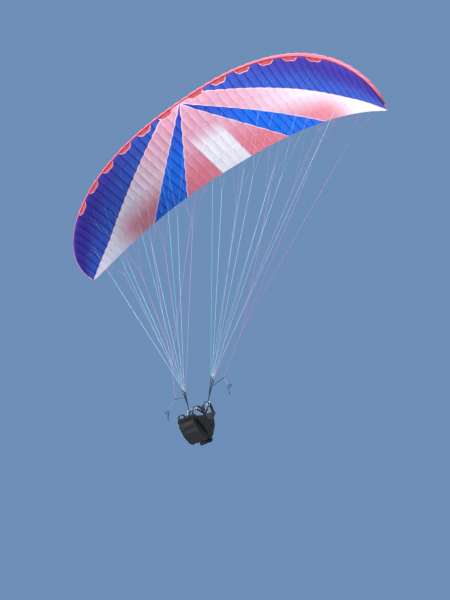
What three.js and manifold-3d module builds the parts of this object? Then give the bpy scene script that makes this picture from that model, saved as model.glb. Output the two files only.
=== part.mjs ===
// A paraglider in flight: a ram-air canopy, its suspension lines, the risers and a seat harness.
// Millimetres. +Z is up, the nose points to -Y and the pilot's left is +X.
// The origin is on the chord of the middle rib, at the share of it where the air carries the canopy.

import * as THREE from "three";
import { mergeVertices } from "three/addons/utils/BufferGeometryUtils.js";
import Module from "manifold-3d";

const wasm = await Module();
wasm.setup();

// Canopy, driving sizes
const halfSpan = 5412; // along the surface, from the middle rib to the tip
const rootChord = 2577;
const tipChordShare = 0.07;
const planExponent = 2.377; // how square the plan outline is
const noseShare = 0.922; // share of the lost chord that is lost at the nose
const noseSweep = -659;
const tipSlope = 1.061; // slope of the arc at the tip, in radians
const arcExponent = 1.178;
const liftPoint = 0.3;
const thicknessShare = 0.17; // of the chord
const topShare = 0.76; // of the thickness, above the chord
const trailingEdge = 8; // thickness of the blunt trailing edge
const wall = 3.5; // cloth, as a solid wall
const noseWallShare = 0.012; // of the chord, the most that a wall may be
const seam = 0.3; // gap between pieces that are sewn or rest together
const sliver = 0.03;
const cellsPerSide = 24;
const cellTaper = 0.134; // how much wider the middle cells are than the mean one
const cellBulge = 0.085; // of the cell's width
const cellSteps = 2; // steps of the skin across one cell

// Where the panels end, as shares of the chord. The nose band reaches further back round an intake.
const bandTop = 0.06;
const bandBottom = 0.02;
const scallop = { bottom: 0.05, halfCells: 0.5 };
const topStations = [bandTop, 0.12, 0.2, 0.32, 0.46, 0.64, 0.82, 1];
const bottomStations = [1, 0.8, 0.57, 0.33, 0.2, 0.12];
const bandStations = [0, 0.018, bandTop];
const bandFolds = [1, 0.72, 0.45]; // below the nose, as shares of the way to the band's lower edge

// Ribs with an intake on both sides, and the chord share of each row of tabs
const openRibs = [2, 5, 8, 11, 14, 17];
const rowShare = { a: 0.12, b: 0.33, c: 0.57, d: 0.8 };

// Suspension, driving sizes
const hangDepth = 8320; // from the origin down to the links
const riserTop = { x: 336, y: -278 };
const rowPitch = 45;
const riserLength = 432.5; // from the link's bar to the top bar of the carabiner
const carabinerX = 220;
const mainRadius = 2.5;
const branchRadius = 2;
const webbing = 3;

const palette = {
  coral: 0xe8555c,
  pink: 0xe9b4c0,
  white: 0xf1eff4,
  deepBlue: 0x23268c,
  brightBlue: 0x1d5fd6,
  aqua: 0x52c4cc,
  linePink: 0xe887a8,
  lineWhite: 0xe4e6ea,
  brakePink: 0xe0308c,
  black: 0x17181b,
  darkCloth: 0x202227,
  steel: 0xc9ccd1,
};

function cloth(colour) {
  return new THREE.MeshStandardMaterial({ color: colour, roughness: 0.75, metalness: 0 });
}

function metal(colour) {
  return new THREE.MeshStandardMaterial({ color: colour, roughness: 0.3, metalness: 1 });
}

function plastic(colour) {
  return new THREE.MeshStandardMaterial({ color: colour, roughness: 0.5, metalness: 0 });
}

// Solids and meshes

function solidOf(geometry) {
  const bare = geometry.clone();
  bare.deleteAttribute("normal");
  bare.deleteAttribute("uv");
  const merged = mergeVertices(bare, 1e-3);
  return new wasm.Manifold(
    new wasm.Mesh({
      numProp: 3,
      vertProperties: merged.attributes.position.array,
      triVerts: new Uint32Array(merged.index.array),
    }),
  );
}

// Cuts leave slivers, which are merged away.
function geometryOf(solid) {
  const mesh = solid.asOriginal().simplify(sliver).getMesh();
  const geometry = new THREE.BufferGeometry();
  const position = new THREE.BufferAttribute(new Float32Array(mesh.vertProperties), 3);
  geometry.setAttribute("position", position);
  geometry.setIndex(new THREE.BufferAttribute(new Uint32Array(mesh.triVerts), 1));
  return geometry;
}

function joined(geometries) {
  const solids = geometries.map(solidOf);
  return geometryOf(solids.reduce((sum, solid) => sum.add(solid)));
}

function piece(name, geometry, material) {
  const mesh = new THREE.Mesh(geometry, material);
  mesh.name = name;
  return mesh;
}

// Closed slab between an outer and an inner grid of points, both seen as rows by columns.
function slab(outer, inner) {
  const rows = outer.length;
  const columns = outer[0].length;
  const points = [...outer.flat(), ...inner.flat()];
  const at = (side, i, j) => side * rows * columns + i * columns + j;
  const triangles = [];
  const quad = (a, b, c, d) => triangles.push(a, b, c, a, c, d);
  for (let i = 0; i < rows - 1; i += 1) {
    for (let j = 0; j < columns - 1; j += 1) {
      quad(at(0, i, j), at(0, i + 1, j), at(0, i + 1, j + 1), at(0, i, j + 1));
      quad(at(1, i, j), at(1, i, j + 1), at(1, i + 1, j + 1), at(1, i + 1, j));
    }
    quad(at(0, i, 0), at(1, i, 0), at(1, i + 1, 0), at(0, i + 1, 0));
    const last = columns - 1;
    quad(at(0, i + 1, last), at(1, i + 1, last), at(1, i, last), at(0, i, last));
  }
  for (let j = 0; j < columns - 1; j += 1) {
    quad(at(0, 0, j), at(0, 0, j + 1), at(1, 0, j + 1), at(1, 0, j));
    const last = rows - 1;
    quad(at(0, last, j + 1), at(0, last, j), at(1, last, j), at(1, last, j + 1));
  }
  const geometry = new THREE.BufferGeometry().setFromPoints(points);
  geometry.setIndex(triangles);
  return geometry;
}

// Outline in the YZ plane, given as [y, z] points, with a width along X.
function sideExtrusion(outline, width, bevel = 0) {
  const shape = new THREE.Shape(outline.map(([y, z]) => new THREE.Vector2(y, z)));
  const geometry = new THREE.ExtrudeGeometry(shape, {
    depth: width - 2 * bevel,
    bevelEnabled: bevel > 0,
    bevelThickness: bevel,
    bevelSize: bevel,
    bevelOffset: -bevel,
    bevelSegments: 2,
    curveSegments: 8,
  });
  geometry.translate(0, 0, -(width - 2 * bevel) / 2);
  const turn = new THREE.Matrix4().makeBasis(
    new THREE.Vector3(0, 1, 0),
    new THREE.Vector3(0, 0, 1),
    new THREE.Vector3(1, 0, 0),
  );
  return geometry.applyMatrix4(turn);
}

// Flat strap along a path. Each station is [x, y, z] and the strap's width lies along widthAxis.
function strap(stations, widthAxis, width, thickness) {
  const path = stations.map((p) => new THREE.Vector3(...p));
  const across = new THREE.Vector3(...widthAxis).normalize();
  const outer = [[], []];
  const inner = [[], []];
  path.forEach((point, j) => {
    const before = path[Math.max(j - 1, 0)];
    const after = path[Math.min(j + 1, path.length - 1)];
    const along = after.clone().sub(before).normalize();
    const normal = across.clone().cross(along).normalize();
    const flat = along.clone().cross(normal);
    for (const row of [0, 1]) {
      const edge = point.clone().addScaledVector(flat, (row - 0.5) * width);
      outer[row].push(edge.clone().addScaledVector(normal, thickness / 2));
      inner[row].push(edge.clone().addScaledVector(normal, -thickness / 2));
    }
  });
  return slab(outer, inner);
}

function rod(from, to, radius, sides = 6) {
  const axis = to.clone().sub(from);
  const geometry = new THREE.CylinderGeometry(radius, radius, axis.length(), sides);
  const turn = new THREE.Quaternion().setFromUnitVectors(
    new THREE.Vector3(0, 1, 0),
    axis.clone().normalize(),
  );
  geometry.applyQuaternion(turn);
  return geometry.translate(...from.clone().addScaledVector(axis, 0.5).toArray());
}

// Lines that leave one spliced knot side by side. Each target is a list of points along one row.
function fan(from, targets, radius) {
  const pitch = 2.6 * radius;
  const rows = targets.length;
  const columns = targets[0].length;
  const block = new THREE.BoxGeometry(columns * pitch, rows * pitch, 6 * radius);
  const parts = [block.translate(...from.toArray())];
  targets.forEach((row, j) =>
    row.forEach((target, i) => {
      const offset = new THREE.Vector3((i - (columns - 1) / 2) * pitch, (j - (rows - 1) / 2) * pitch, 0);
      parts.push(rod(from.clone().add(offset), target, radius));
    }),
  );
  return parts;
}

function meanOf(points) {
  return points.reduce((sum, point) => sum.add(point), new THREE.Vector3()).divideScalar(points.length);
}

// The arc of the canopy seen from the front, summed along the surface in short steps.
const arcSteps = 400;
const arc = [{ x: 0, z: 0 }];
for (let k = 1; k <= arcSteps; k += 1) {
  const slope = tipSlope * ((k - 0.5) / arcSteps) ** arcExponent;
  const { x, z } = arc[k - 1];
  const step = halfSpan / arcSteps;
  arc.push({ x: x + step * Math.cos(slope), z: z - step * Math.sin(slope) });
}

// Section at s, from -1 at the right tip to 1 at the left one.
function section(s) {
  const share = Math.min(Math.abs(s), 1);
  const place = share * arcSteps;
  const k = Math.min(Math.floor(place), arcSteps - 1);
  const mix = place - k;
  const side = Math.sign(s);
  const slope = tipSlope * share ** arcExponent;
  const full = Math.sqrt(Math.max(0, 1 - share ** planExponent));
  const chord = rootChord * ((1 - tipChordShare) * full + tipChordShare);
  return {
    chord,
    x: side * THREE.MathUtils.lerp(arc[k].x, arc[k + 1].x, mix),
    z: THREE.MathUtils.lerp(arc[k].z, arc[k + 1].z, mix),
    noseY: noseShare * (rootChord - chord) + noseSweep * share ** 2 - liftPoint * rootChord,
    up: new THREE.Vector3(side * Math.sin(slope), 0, Math.cos(slope)),
  };
}

// Half thickness of a symmetrical wing section, as a share of the chord, before it is shared out.
function halfThickness(t) {
  const curve = 0.2969 * Math.sqrt(t) - 0.126 * t - 0.3516 * t ** 2 + 0.2843 * t ** 3 - 0.1036 * t ** 4;
  return 5 * thicknessShare * curve;
}

// Point of the profile in the section's plane. q is 0 at the nose, 1 at the end of the top, -1 at the
// end of the bottom, and the chord share is q squared.
function profilePoint(q, chord) {
  const t = Math.min(q * q, 1);
  const side = Math.sign(q);
  const share = side > 0 ? topShare : 1 - topShare;
  const height = 2 * share * halfThickness(t) * chord + (trailingEdge * t) / 2;
  return new THREE.Vector2(t * chord, side * height);
}

// The same point moved outwards by the given distance, or inwards where it is negative.
function profileOffset(q, chord, distance) {
  const step = 1e-3;
  const back = profilePoint(Math.max(q - step, -1), chord);
  const ahead = profilePoint(Math.min(q + step, 1), chord);
  const along = ahead.sub(back).normalize();
  const point = profilePoint(q, chord);
  return point.add(new THREE.Vector2(-along.y, along.x).multiplyScalar(distance));
}

// Point in space of a profile point [y, height] in the section at s.
function placed(flat, cut) {
  return new THREE.Vector3(cut.x, cut.noseY + flat.x, cut.z).addScaledVector(cut.up, flat.y);
}

// Place of rib i, counted from the middle rib, 0 to cellsPerSide.
function ribPlace(i) {
  const share = Math.abs(i) / cellsPerSide;
  return Math.sign(i) * share * (1 + cellTaper * (1 - share));
}

// How far the skin stands out of the ribs: round over each cell, flat at the trailing edge.
function bulge(cell, q) {
  const low = Math.floor(cell);
  const width = (ribPlace(low + 1) - ribPlace(low)) * halfSpan;
  const across = Math.sin(Math.PI * (cell - low));
  const along = Math.sqrt(Math.max(0, 1 - q * q)) * (0.55 + 0.45 * Math.min(1, Math.abs(q) * 2));
  return cellBulge * width * across * along;
}

// Wall thickness, less near the trailing edge, where two walls share the height, and at a small nose.
function wallAt(q, chord) {
  const t = q * q;
  const height = 2 * halfThickness(t) * chord + trailingEdge * t;
  return Math.min(wall, noseWallShare * chord, t > 0 ? (height - seam) / 2 : wall);
}

// Skin over all cells between the given profile places.
function skin(places) {
  const outer = [];
  const inner = [];
  const rows = 2 * cellsPerSide * cellSteps;
  for (let row = 0; row <= rows; row += 1) {
    const cell = row / cellSteps - cellsPerSide;
    const low = Math.floor(cell);
    const mix = cell - low;
    const s = THREE.MathUtils.lerp(ribPlace(low), ribPlace(low + 1), mix);
    const cut = section(row === rows ? 1 : s);
    const lift = (q) => (mix > 0 ? bulge(cell, q) : 0);
    const moved = (q, depth) => placed(profileOffset(q, cut.chord, lift(q) - depth), cut);
    const list = places(cut.chord, cell);
    outer.push(list.map((q) => moved(q, 0)));
    inner.push(list.map((q) => moved(q, wallAt(q, cut.chord))));
  }
  return slab(outer, inner);
}

// Moves the end of a list of profile places back from a seam, by half the seam's gap.
function trimmed(places, first, last, chord) {
  const ends = [...places];
  const gap = (q) => seam / 2 / (2 * Math.abs(q) * chord);
  if (first) ends[0] += gap(ends[0]);
  if (last) ends[ends.length - 1] -= gap(ends[ends.length - 1]);
  return ends;
}

const topPlaces = topStations.map((t) => Math.sqrt(t));

// Profile place of the nose band's lower edge at a rib or in the middle of a cell.
function bandEdge(cell) {
  const atIntake = openRibs.some((i) => Math.abs(Math.abs(cell) - i) <= scallop.halfCells);
  return -Math.sqrt(atIntake ? scallop.bottom : bandBottom);
}

function bottomPlaces(cell) {
  return [...bottomStations.map((t) => -Math.sqrt(t)), bandEdge(cell)];
}

function bandPlaces(cell) {
  return [...bandFolds.map((share) => share * bandEdge(cell)), ...bandStations.map((t) => Math.sqrt(t))];
}

// A block of space inside a section's plane frame: s from and to, chord shares, and heights.
function sectionBlock(sList, shares, low, high) {
  const point = (s, t, height) => {
    const cut = section(s);
    return placed(new THREE.Vector2(t * cut.chord, height), cut);
  };
  const outer = sList.map((s, i) => shares[i].map((t) => point(s, t, high)));
  const inner = sList.map((s, i) => shares[i].map((t) => point(s, t, low)));
  return slab(outer, inner);
}

// Open intakes: two cells at each load rib, cut back furthest beside the rib.
const intake = { front: 0.007, side: 0.015, middle: 0.042, margin: 0.12, flat: 0.45, low: -150, high: -8 };

function noseBand() {
  const band = solidOf(skin((chord, cell) => trimmed(bandPlaces(cell), true, true, chord)));
  const cutters = [];
  for (const side of [-1, 1]) {
    for (const rib of openRibs) {
      const reach = 1 - intake.margin;
      const ends = [-reach, -intake.flat, 0, intake.flat, reach];
      const places = ends.map((off) => side * ribPlace(rib + off)).sort((a, b) => a - b);
      const backs = ends.map((off) => (Math.abs(off) === reach ? intake.side : intake.middle));
      const shares = backs.map((back) => [intake.front, back]);
      cutters.push(solidOf(sectionBlock(places, shares, intake.low, intake.high)));
    }
  }
  return geometryOf(cutters.reduce((left, cutter) => left.subtract(cutter), band));
}

// Coloured panels of the lower skin, cut along straight rays in the plan view.
const rayStart = new THREE.Vector2(0, -liftPoint * rootChord);
const rayFar = 2;
const rayTrailing = { inner: 0.328, outer: 0.553 };
const tipRay = [
  [595, -776],
  [3800, 735],
  [4560, 965],
  [6000, 1400],
];
const panelDepth = { low: -4200, high: 700 };

function rayEnd(s) {
  const cut = section(s);
  const end = new THREE.Vector2(cut.x, cut.noseY + cut.chord).sub(rayStart);
  return rayStart.clone().addScaledVector(end, rayFar);
}

// Upright prism over a plan outline. The outline is pulled in by half a seam.
function planPrism(outline) {
  const centre = outline.reduce((sum, p) => sum.add(p), new THREE.Vector2()).divideScalar(outline.length);
  const pulled = outline.map((point, i) => {
    const before = outline[(i + outline.length - 1) % outline.length];
    const after = outline[(i + 1) % outline.length];
    const inward = (a, b) => {
      const normal = new THREE.Vector2(a.y - b.y, b.x - a.x).normalize();
      const middle = a.clone().add(b).multiplyScalar(0.5);
      return normal.dot(centre.clone().sub(middle)) < 0 ? normal.negate() : normal;
    };
    const one = inward(before, point);
    const two = inward(point, after);
    const mean = one.clone().add(two);
    return point.clone().addScaledVector(mean, seam / 2 / (mean.dot(one) || 1));
  });
  const prism = new THREE.ExtrudeGeometry(new THREE.Shape(pulled), {
    depth: panelDepth.high - panelDepth.low,
    bevelEnabled: false,
  });
  return solidOf(prism.translate(0, 0, panelDepth.low));
}

function lowerPanels() {
  const whole = solidOf(skin((chord, cell) => trimmed(bottomPlaces(cell), false, true, chord)));
  const group = new THREE.Group();
  const add = (name, outline, colour) => {
    const panel = whole.intersect(planPrism(outline));
    group.add(piece(name, geometryOf(panel), cloth(colour)));
  };
  const flip = (p, side) => new THREE.Vector2(side * p.x, p.y);
  const one = rayEnd(rayTrailing.inner);
  const two = rayEnd(rayTrailing.outer);
  const tip = tipRay.map(([x, y]) => new THREE.Vector2(x, y));
  add("lower_centre_panel", [rayStart, flip(one, 1), flip(one, -1)], palette.pink);
  const sides = [
    ["left", 1],
    ["right", -1],
  ];
  const frontY = -2000;
  for (const [word, side] of sides) {
    add(`lower_stripe_${word}`, [rayStart, flip(two, side), flip(one, side)], palette.brightBlue);
    const white = [rayStart, tip[0], tip[1], tip[2], tip[3], two].map((p) => flip(p, side));
    add(`lower_white_panel_${word}`, white, palette.white);
    const corners = [new THREE.Vector2(tip[3].x, frontY), new THREE.Vector2(tip[0].x, frontY)];
    const outer = [tip[0], tip[1], tip[2], tip[3], ...corners].map((p) => flip(p, side));
    add(`lower_outer_panel_${word}`, outer, palette.deepBlue);
  }
  return group;
}

// Ribs inside the canopy, joined by two tension tapes that run from tip to tip.
const rib = { thickness: 4, gap: 0.8, noseGap: 7, endShare: 0.0035, end: 0.975, tipStart: 0.2 };
const tape = { shares: [0.2, 0.45], width: 40, thickness: 3, heightShare: 0.03 };
const ribList = [2, 5, 8, 11, 14, 17, 20, cellsPerSide];

function ribPlate(i) {
  const cut = section(ribPlace(i));
  const tip = Math.abs(i) === cellsPerSide;
  const noseGap = tip ? 0 : rib.noseGap * ribPlace(i) ** 2; // room for the sweep of the nose
  const below = [...bottomPlaces(i).slice(1), ...bandPlaces(i).slice(1, -1)];
  const places = [...below, ...topPlaces.slice(0, -1)].filter((q) => !tip || Math.abs(q) > rib.tipStart);
  const inside = (q, gap) => {
    const room = Math.abs(q) > topPlaces[0] ? gap : gap + noseGap;
    return profileOffset(q, cut.chord, -wallAt(q, cut.chord) - room);
  };
  const outline = [
    inside(-rib.end, rib.gap + rib.endShare * cut.chord),
    ...places.map((q) => inside(q, rib.gap)),
    inside(rib.end, rib.gap + rib.endShare * cut.chord),
  ];
  const shape = new THREE.Shape(outline);
  const plate = new THREE.ExtrudeGeometry(shape, { depth: rib.thickness, bevelEnabled: false });
  const inboard = tip ? -Math.sign(i) * rib.thickness : 0;
  plate.translate(0, 0, (inboard - rib.thickness) / 2);
  const across = new THREE.Vector3(0, 1, 0).cross(cut.up);
  const turn = new THREE.Matrix4().makeBasis(new THREE.Vector3(0, 1, 0), cut.up, across);
  turn.setPosition(cut.x, cut.noseY, cut.z);
  return plate.applyMatrix4(turn);
}

function ribFrame() {
  const plates = ribList.flatMap((i) => [ribPlate(i), ribPlate(-i)]);
  const ends = Array.from({ length: 2 * cellsPerSide + 1 }, (_, k) => ribPlace(k - cellsPerSide));
  const tapes = tape.shares.map((share) => {
    const point = (s, along, lift) => {
      const cut = section(s);
      const flat = new THREE.Vector2(share * cut.chord + along, tape.heightShare * cut.chord + lift);
      return placed(flat, cut);
    };
    const half = (s) => (tape.width / 2) * Math.min(1, section(s).chord / 1000);
    const row = (s, lift) => [point(s, -half(s), lift), point(s, half(s), lift)];

    return slab(
      ends.map((s) => row(s, tape.thickness / 2)),
      ends.map((s) => row(s, -tape.thickness / 2)),
    );
  });
  return joined([...plates, ...tapes]);
}

// Suspension lines. Each row is one tree a side: mains from the link, each split in two.
const tab = { width: 3, length: 26, height: 18, gap: 0.5 };
const lineSplit = 0.62; // where a main ends, as a share of the way up
const mainGroups = [
  [2, 5],
  [8, 11],
  [14, 17],
];
const collarLift = 3 * mainRadius; // the lines of one link are bound just above it
const stabiliserRib = 20;

function tabAt(ribIndex, share, side) {
  const cut = section(side * ribPlace(ribIndex));
  const q = -Math.sqrt(share);
  const surface = placed(profileOffset(q, cut.chord, tab.gap), cut);
  const ahead = placed(profileOffset(q - 0.01, cut.chord, tab.gap), cut);
  const along = ahead.sub(surface).normalize();
  const across = along.clone().cross(cut.up).normalize();
  const up = across.clone().cross(along);
  const plate = new THREE.BoxGeometry(tab.width, tab.length, tab.height);
  plate.translate(0, 0, -tab.height / 2);
  const turn = new THREE.Matrix4().makeBasis(across, along, up).setPosition(surface);
  const foot = surface.clone().addScaledVector(up, -tab.height + branchRadius);
  return { plate: plate.applyMatrix4(turn), foot };
}

function linkTop(row, side) {
  const offset = { a: -rowPitch, b: 0, c: rowPitch }[row];
  return new THREE.Vector3(side * riserTop.x, riserTop.y + offset, -hangDepth);
}

function lineTree(row, side) {
  const start = linkTop(row, side);
  const rows = row === "c" ? ["c", "d"] : [row];
  const groups = side > 0 ? mainGroups : mainGroups.map((g) => [...g].reverse()).reverse();
  const parts = [];
  const splits = groups.map((group) => {
    const tabs = rows.map((word) => group.map((i) => tabAt(i, rowShare[word], side)));
    const feet = tabs.map((line) => line.map((t) => t.foot));
    const split = start.clone().lerp(meanOf(feet.flat()), lineSplit);
    parts.push(...tabs.flat().map((t) => t.plate), ...fan(split, feet, branchRadius));
    return split;
  });
  if (row === "b") {
    const end = tabAt(stabiliserRib, rowShare.b, side);
    parts.push(end.plate);
    if (side > 0) splits.push(end.foot);
    else splits.unshift(end.foot);
  }
  const collar = start.clone().add(new THREE.Vector3(0, 0, collarLift));
  parts.push(...fan(collar, [splits], mainRadius));
  return joined(parts);
}

// Brakes: a fan to the trailing edge, a pulley on its webbing, and the toggle below the pulley.
const brake = {
  ribs: [
    [4, 8],
    [12, 15],
    [18, 21],
  ],
  low: 0.14, // where the main brake line ends, as a share of the way up
  high: 0.8,
  pulley: { x: 560, y: -248, z: -8420 },
  toggle: { x: 680, y: -288, z: -8620 },
  radius: 2,
  edge: 6, // from the trailing edge
  gap: 1.8,
  aboveAxle: 15,
};

function sidePoint({ x, y, z }, side) {
  return new THREE.Vector3(side * x, y, z);
}

function brakeFan(side) {
  const start = sidePoint(brake.pulley, side).add(new THREE.Vector3(0, 0, brake.aboveAxle));
  const pairs = side > 0 ? brake.ribs : brake.ribs.map((pair) => [...pair].reverse()).reverse();
  const feet = pairs.map((pair) =>
    pair.map((i) => {
      const cut = section(side * ribPlace(i));
      return placed(new THREE.Vector2(cut.chord - brake.edge, -trailingEdge / 2 - brake.gap), cut);
    }),
  );
  const low = start.clone().lerp(meanOf(feet.flat()), brake.low);
  const parts = [rod(start, low, brake.radius)];
  const highs = feet.map((pair) => {
    const high = low.clone().lerp(meanOf(pair), brake.high);
    parts.push(...fan(high, [pair], brake.radius));
    return high;
  });
  parts.push(...fan(low, [highs], brake.radius));
  return joined(parts);
}

// Quick links, each a flat triangle of round bar with its base below.
const link = { width: 36, height: 42, apex: 16, corner: 8, bar: 5, bevel: 1.2 };

function ring(outline, hole, depth, bevel) {
  const shape = new THREE.Shape(outline);
  shape.holes.push(new THREE.Path(hole));
  const geometry = new THREE.ExtrudeGeometry(shape, {
    depth: depth - 2 * bevel,
    bevelThickness: bevel,
    bevelSize: bevel,
    bevelOffset: -bevel,
    bevelSegments: 1,
  });
  geometry.translate(0, 0, -(depth - 2 * bevel) / 2);
  return geometry.rotateX(Math.PI / 2);
}

// Outline in the XZ plane with round corners: corners are [x, z, radius].
function roundOutline(corners, inset = 0, steps = 2) {
  const points = [];
  const count = corners.length;
  corners.forEach(([x, z, radius], i) => {
    const here = new THREE.Vector2(x, z);
    const before = new THREE.Vector2(...corners[(i + count - 1) % count].slice(0, 2)).sub(here).normalize();
    const after = new THREE.Vector2(...corners[(i + 1) % count].slice(0, 2)).sub(here).normalize();
    const half = Math.acos(THREE.MathUtils.clamp(before.dot(after), -1, 1)) / 2;
    const toCentre = before.clone().add(after).normalize();
    const centre = here.clone().addScaledVector(toCentre, radius / Math.sin(half));
    const from = before.clone().multiplyScalar(radius / Math.tan(half)).add(here).sub(centre);
    const to = after.clone().multiplyScalar(radius / Math.tan(half)).add(here).sub(centre);
    const turn = Math.atan2(from.x * to.y - from.y * to.x, from.dot(to));
    for (let k = 0; k <= steps; k += 1) {
      const corner = from.clone().rotateAround(new THREE.Vector2(), (turn * k) / steps);
      points.push(corner.multiplyScalar(1 - inset / radius).add(centre));
    }
  });
  return points;
}

const linkCorners = [
  [-link.width / 2, -link.height, link.corner],
  [link.width / 2, -link.height, link.corner],
  [0, link.apex, link.corner],
];
const linkPeak = Math.max(...roundOutline(linkCorners).map((p) => p.y));
const linkBase = link.height + linkPeak - link.bar / 2; // from the peak down to the middle of the base

function linkRing() {
  const outline = roundOutline(linkCorners);
  const hole = roundOutline(linkCorners, link.bar);
  return ring(outline, hole, link.bar, link.bevel).translate(0, 0, -linkPeak);
}

// Carabiner, an upright oval, wider than the webbing that it holds.
const carabiner = { width: 58, height: 104, bar: 10, bevel: 2.5, corner: 20 };
const carabinerTopZ = -hangDepth - linkBase - riserLength;
const pivotZ = carabinerTopZ - (carabiner.height - carabiner.bar);
const pivotY = riserTop.y;

function carabinerRing() {
  const half = carabiner.width / 2;
  const high = carabiner.bar / 2;
  const low = high - carabiner.height;
  const corners = [
    [-half, low, carabiner.corner],
    [half, low, carabiner.corner],
    [half, high, carabiner.corner],
    [-half, high, carabiner.corner],
  ];
  return ring(roundOutline(corners), roundOutline(corners, carabiner.bar), carabiner.bar, carabiner.bevel);
}

// Webbing bands seen from the side: a straight run and an eye round a bar, as [y, z] outlines.
function bandOutline([y0, z0], [y1, z1], thickness) {
  const along = new THREE.Vector2(y1 - y0, z1 - z0).normalize();
  const half = new THREE.Vector2(-along.y, along.x).multiplyScalar(thickness / 2);
  return [
    [y0 + half.x, z0 + half.y],
    [y0 - half.x, z0 - half.y],
    [y1 - half.x, z1 - half.y],
    [y1 + half.x, z1 + half.y],
  ];
}

function eye([y, z], inner, thickness, width) {
  const shape = new THREE.Shape().absarc(y, z, inner + thickness, 0, 2 * Math.PI);
  shape.holes.push(new THREE.Path().absarc(y, z, inner, 0, 2 * Math.PI));
  const geometry = new THREE.ExtrudeGeometry(shape, { depth: width, bevelEnabled: false, curveSegments: 8 });
  geometry.translate(0, 0, -width / 2);
  const turn = new THREE.Matrix4().makeBasis(
    new THREE.Vector3(0, 1, 0),
    new THREE.Vector3(0, 0, 1),
    new THREE.Vector3(1, 0, 0),
  );
  return geometry.applyMatrix4(turn);
}

// Riser of one side: three straps from the links, sewn together above the carabiner.
const riser = { width: 15, linkEye: 3.3, carabinerEye: 6, sewn: 90 };

function riserStraps(side) {
  const low = [0, riser.carabinerEye + webbing / 2];
  const top = riserLength;
  const parts = [eye([0, 0], riser.carabinerEye, webbing, riser.width)];
  const sewnTop = [0, riser.sewn];
  parts.push(sideExtrusion(bandOutline(low, sewnTop, 3 * webbing), riser.width));
  for (const offset of [-rowPitch, 0, rowPitch]) {
    parts.push(eye([offset, top], riser.linkEye, webbing, riser.width));
    const end = [offset, top - riser.linkEye - webbing / 2];
    parts.push(sideExtrusion(bandOutline([0, riser.sewn - webbing], end, webbing), riser.width));
  }
  const geometry = joined(parts);
  const lean = (side * (riserTop.x - carabinerX)) / riserLength;
  const shear = new THREE.Matrix4().set(1, 0, lean, 0, 0, 1, 0, 0, 0, 0, 1, 0, 0, 0, 0, 1);
  geometry.applyMatrix4(shear);
  return geometry.translate(side * carabinerX, pivotY, carabinerTopZ);
}

// Brake pulley, a short drum on a strap from the rear riser.
const pulley = { radius: 14, width: 10, strap: 12, sides: 16 };

function pulleyOnStrap(side) {
  const centre = sidePoint(brake.pulley, side);
  const share = 0.72; // how far up the riser the strap is sewn on
  const root = new THREE.Vector3(
    side * (THREE.MathUtils.lerp(carabinerX, riserTop.x, share) + riser.width / 2 + 1),
    pivotY + rowPitch * share,
    carabinerTopZ + riserLength * share,
  );
  const direction = centre.clone().sub(root).normalize();
  const end = centre.clone().addScaledVector(direction, 2 - pulley.radius);
  const band = strap([root.toArray(), end.toArray()], [0, 1, 0], pulley.strap, webbing);
  const drum = new THREE.CylinderGeometry(pulley.radius, pulley.radius, pulley.width, pulley.sides);
  return joined([band, drum.translate(...centre.toArray())]);
}

// Toggle: a soft handle loop with a short line up to the pulley.
const toggle = { width: 110, height: 95, apex: 16, corner: 16, bar: 10, depth: 14, bevel: 3 };
const toggleCorners = [
  [-toggle.width / 2, -toggle.height, toggle.corner],
  [toggle.width / 2, -toggle.height, toggle.corner],
  [0, toggle.apex, toggle.corner],
];
const togglePeak = Math.max(...roundOutline(toggleCorners).map((p) => p.y));

function toggleFrame(side) {
  const top = sidePoint(brake.pulley, side);
  const grip = sidePoint(brake.toggle, side);
  const away = grip.clone().sub(top).normalize();
  return { top, grip, away };
}

function toggleHandle(side) {
  const { grip, away } = toggleFrame(side);
  const outline = roundOutline(toggleCorners);
  const loop = ring(outline, roundOutline(toggleCorners, toggle.bar), toggle.depth, toggle.bevel);
  const up = away.clone().negate();
  const across = new THREE.Vector3(0, 1, 0).cross(up).normalize();
  const turn = new THREE.Matrix4().makeBasis(across, up.clone().cross(across), up).setPosition(grip);
  return loop.applyMatrix4(turn);
}

function toggleLine(side) {
  const { top, grip, away } = toggleFrame(side);
  const from = top.clone().addScaledVector(away, pulley.radius + 1);
  return rod(from, grip.clone().addScaledVector(away, -togglePeak - seam), brake.radius);
}

// Harness, in its own frame: the origin is on the line through both carabiners' lower bars.
const seat = { width: 380, front: -215, back: 205, top: -415, bottom: -462 };
const backHeight = 190;
const sideWall = 5;
const sideX = seat.width / 2 + seam + sideWall / 2;
const web = { x: carabinerX, low: seat.width / 2 + sideWall + 2 * seam + webbing / 2, eye: 7.2, width: 36 };
const chest = { half: 150, front: -72, back: -52.6, z: -40, width: 28 };
const buckleSize = { width: 60, depth: 10, height: 44 };

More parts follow.
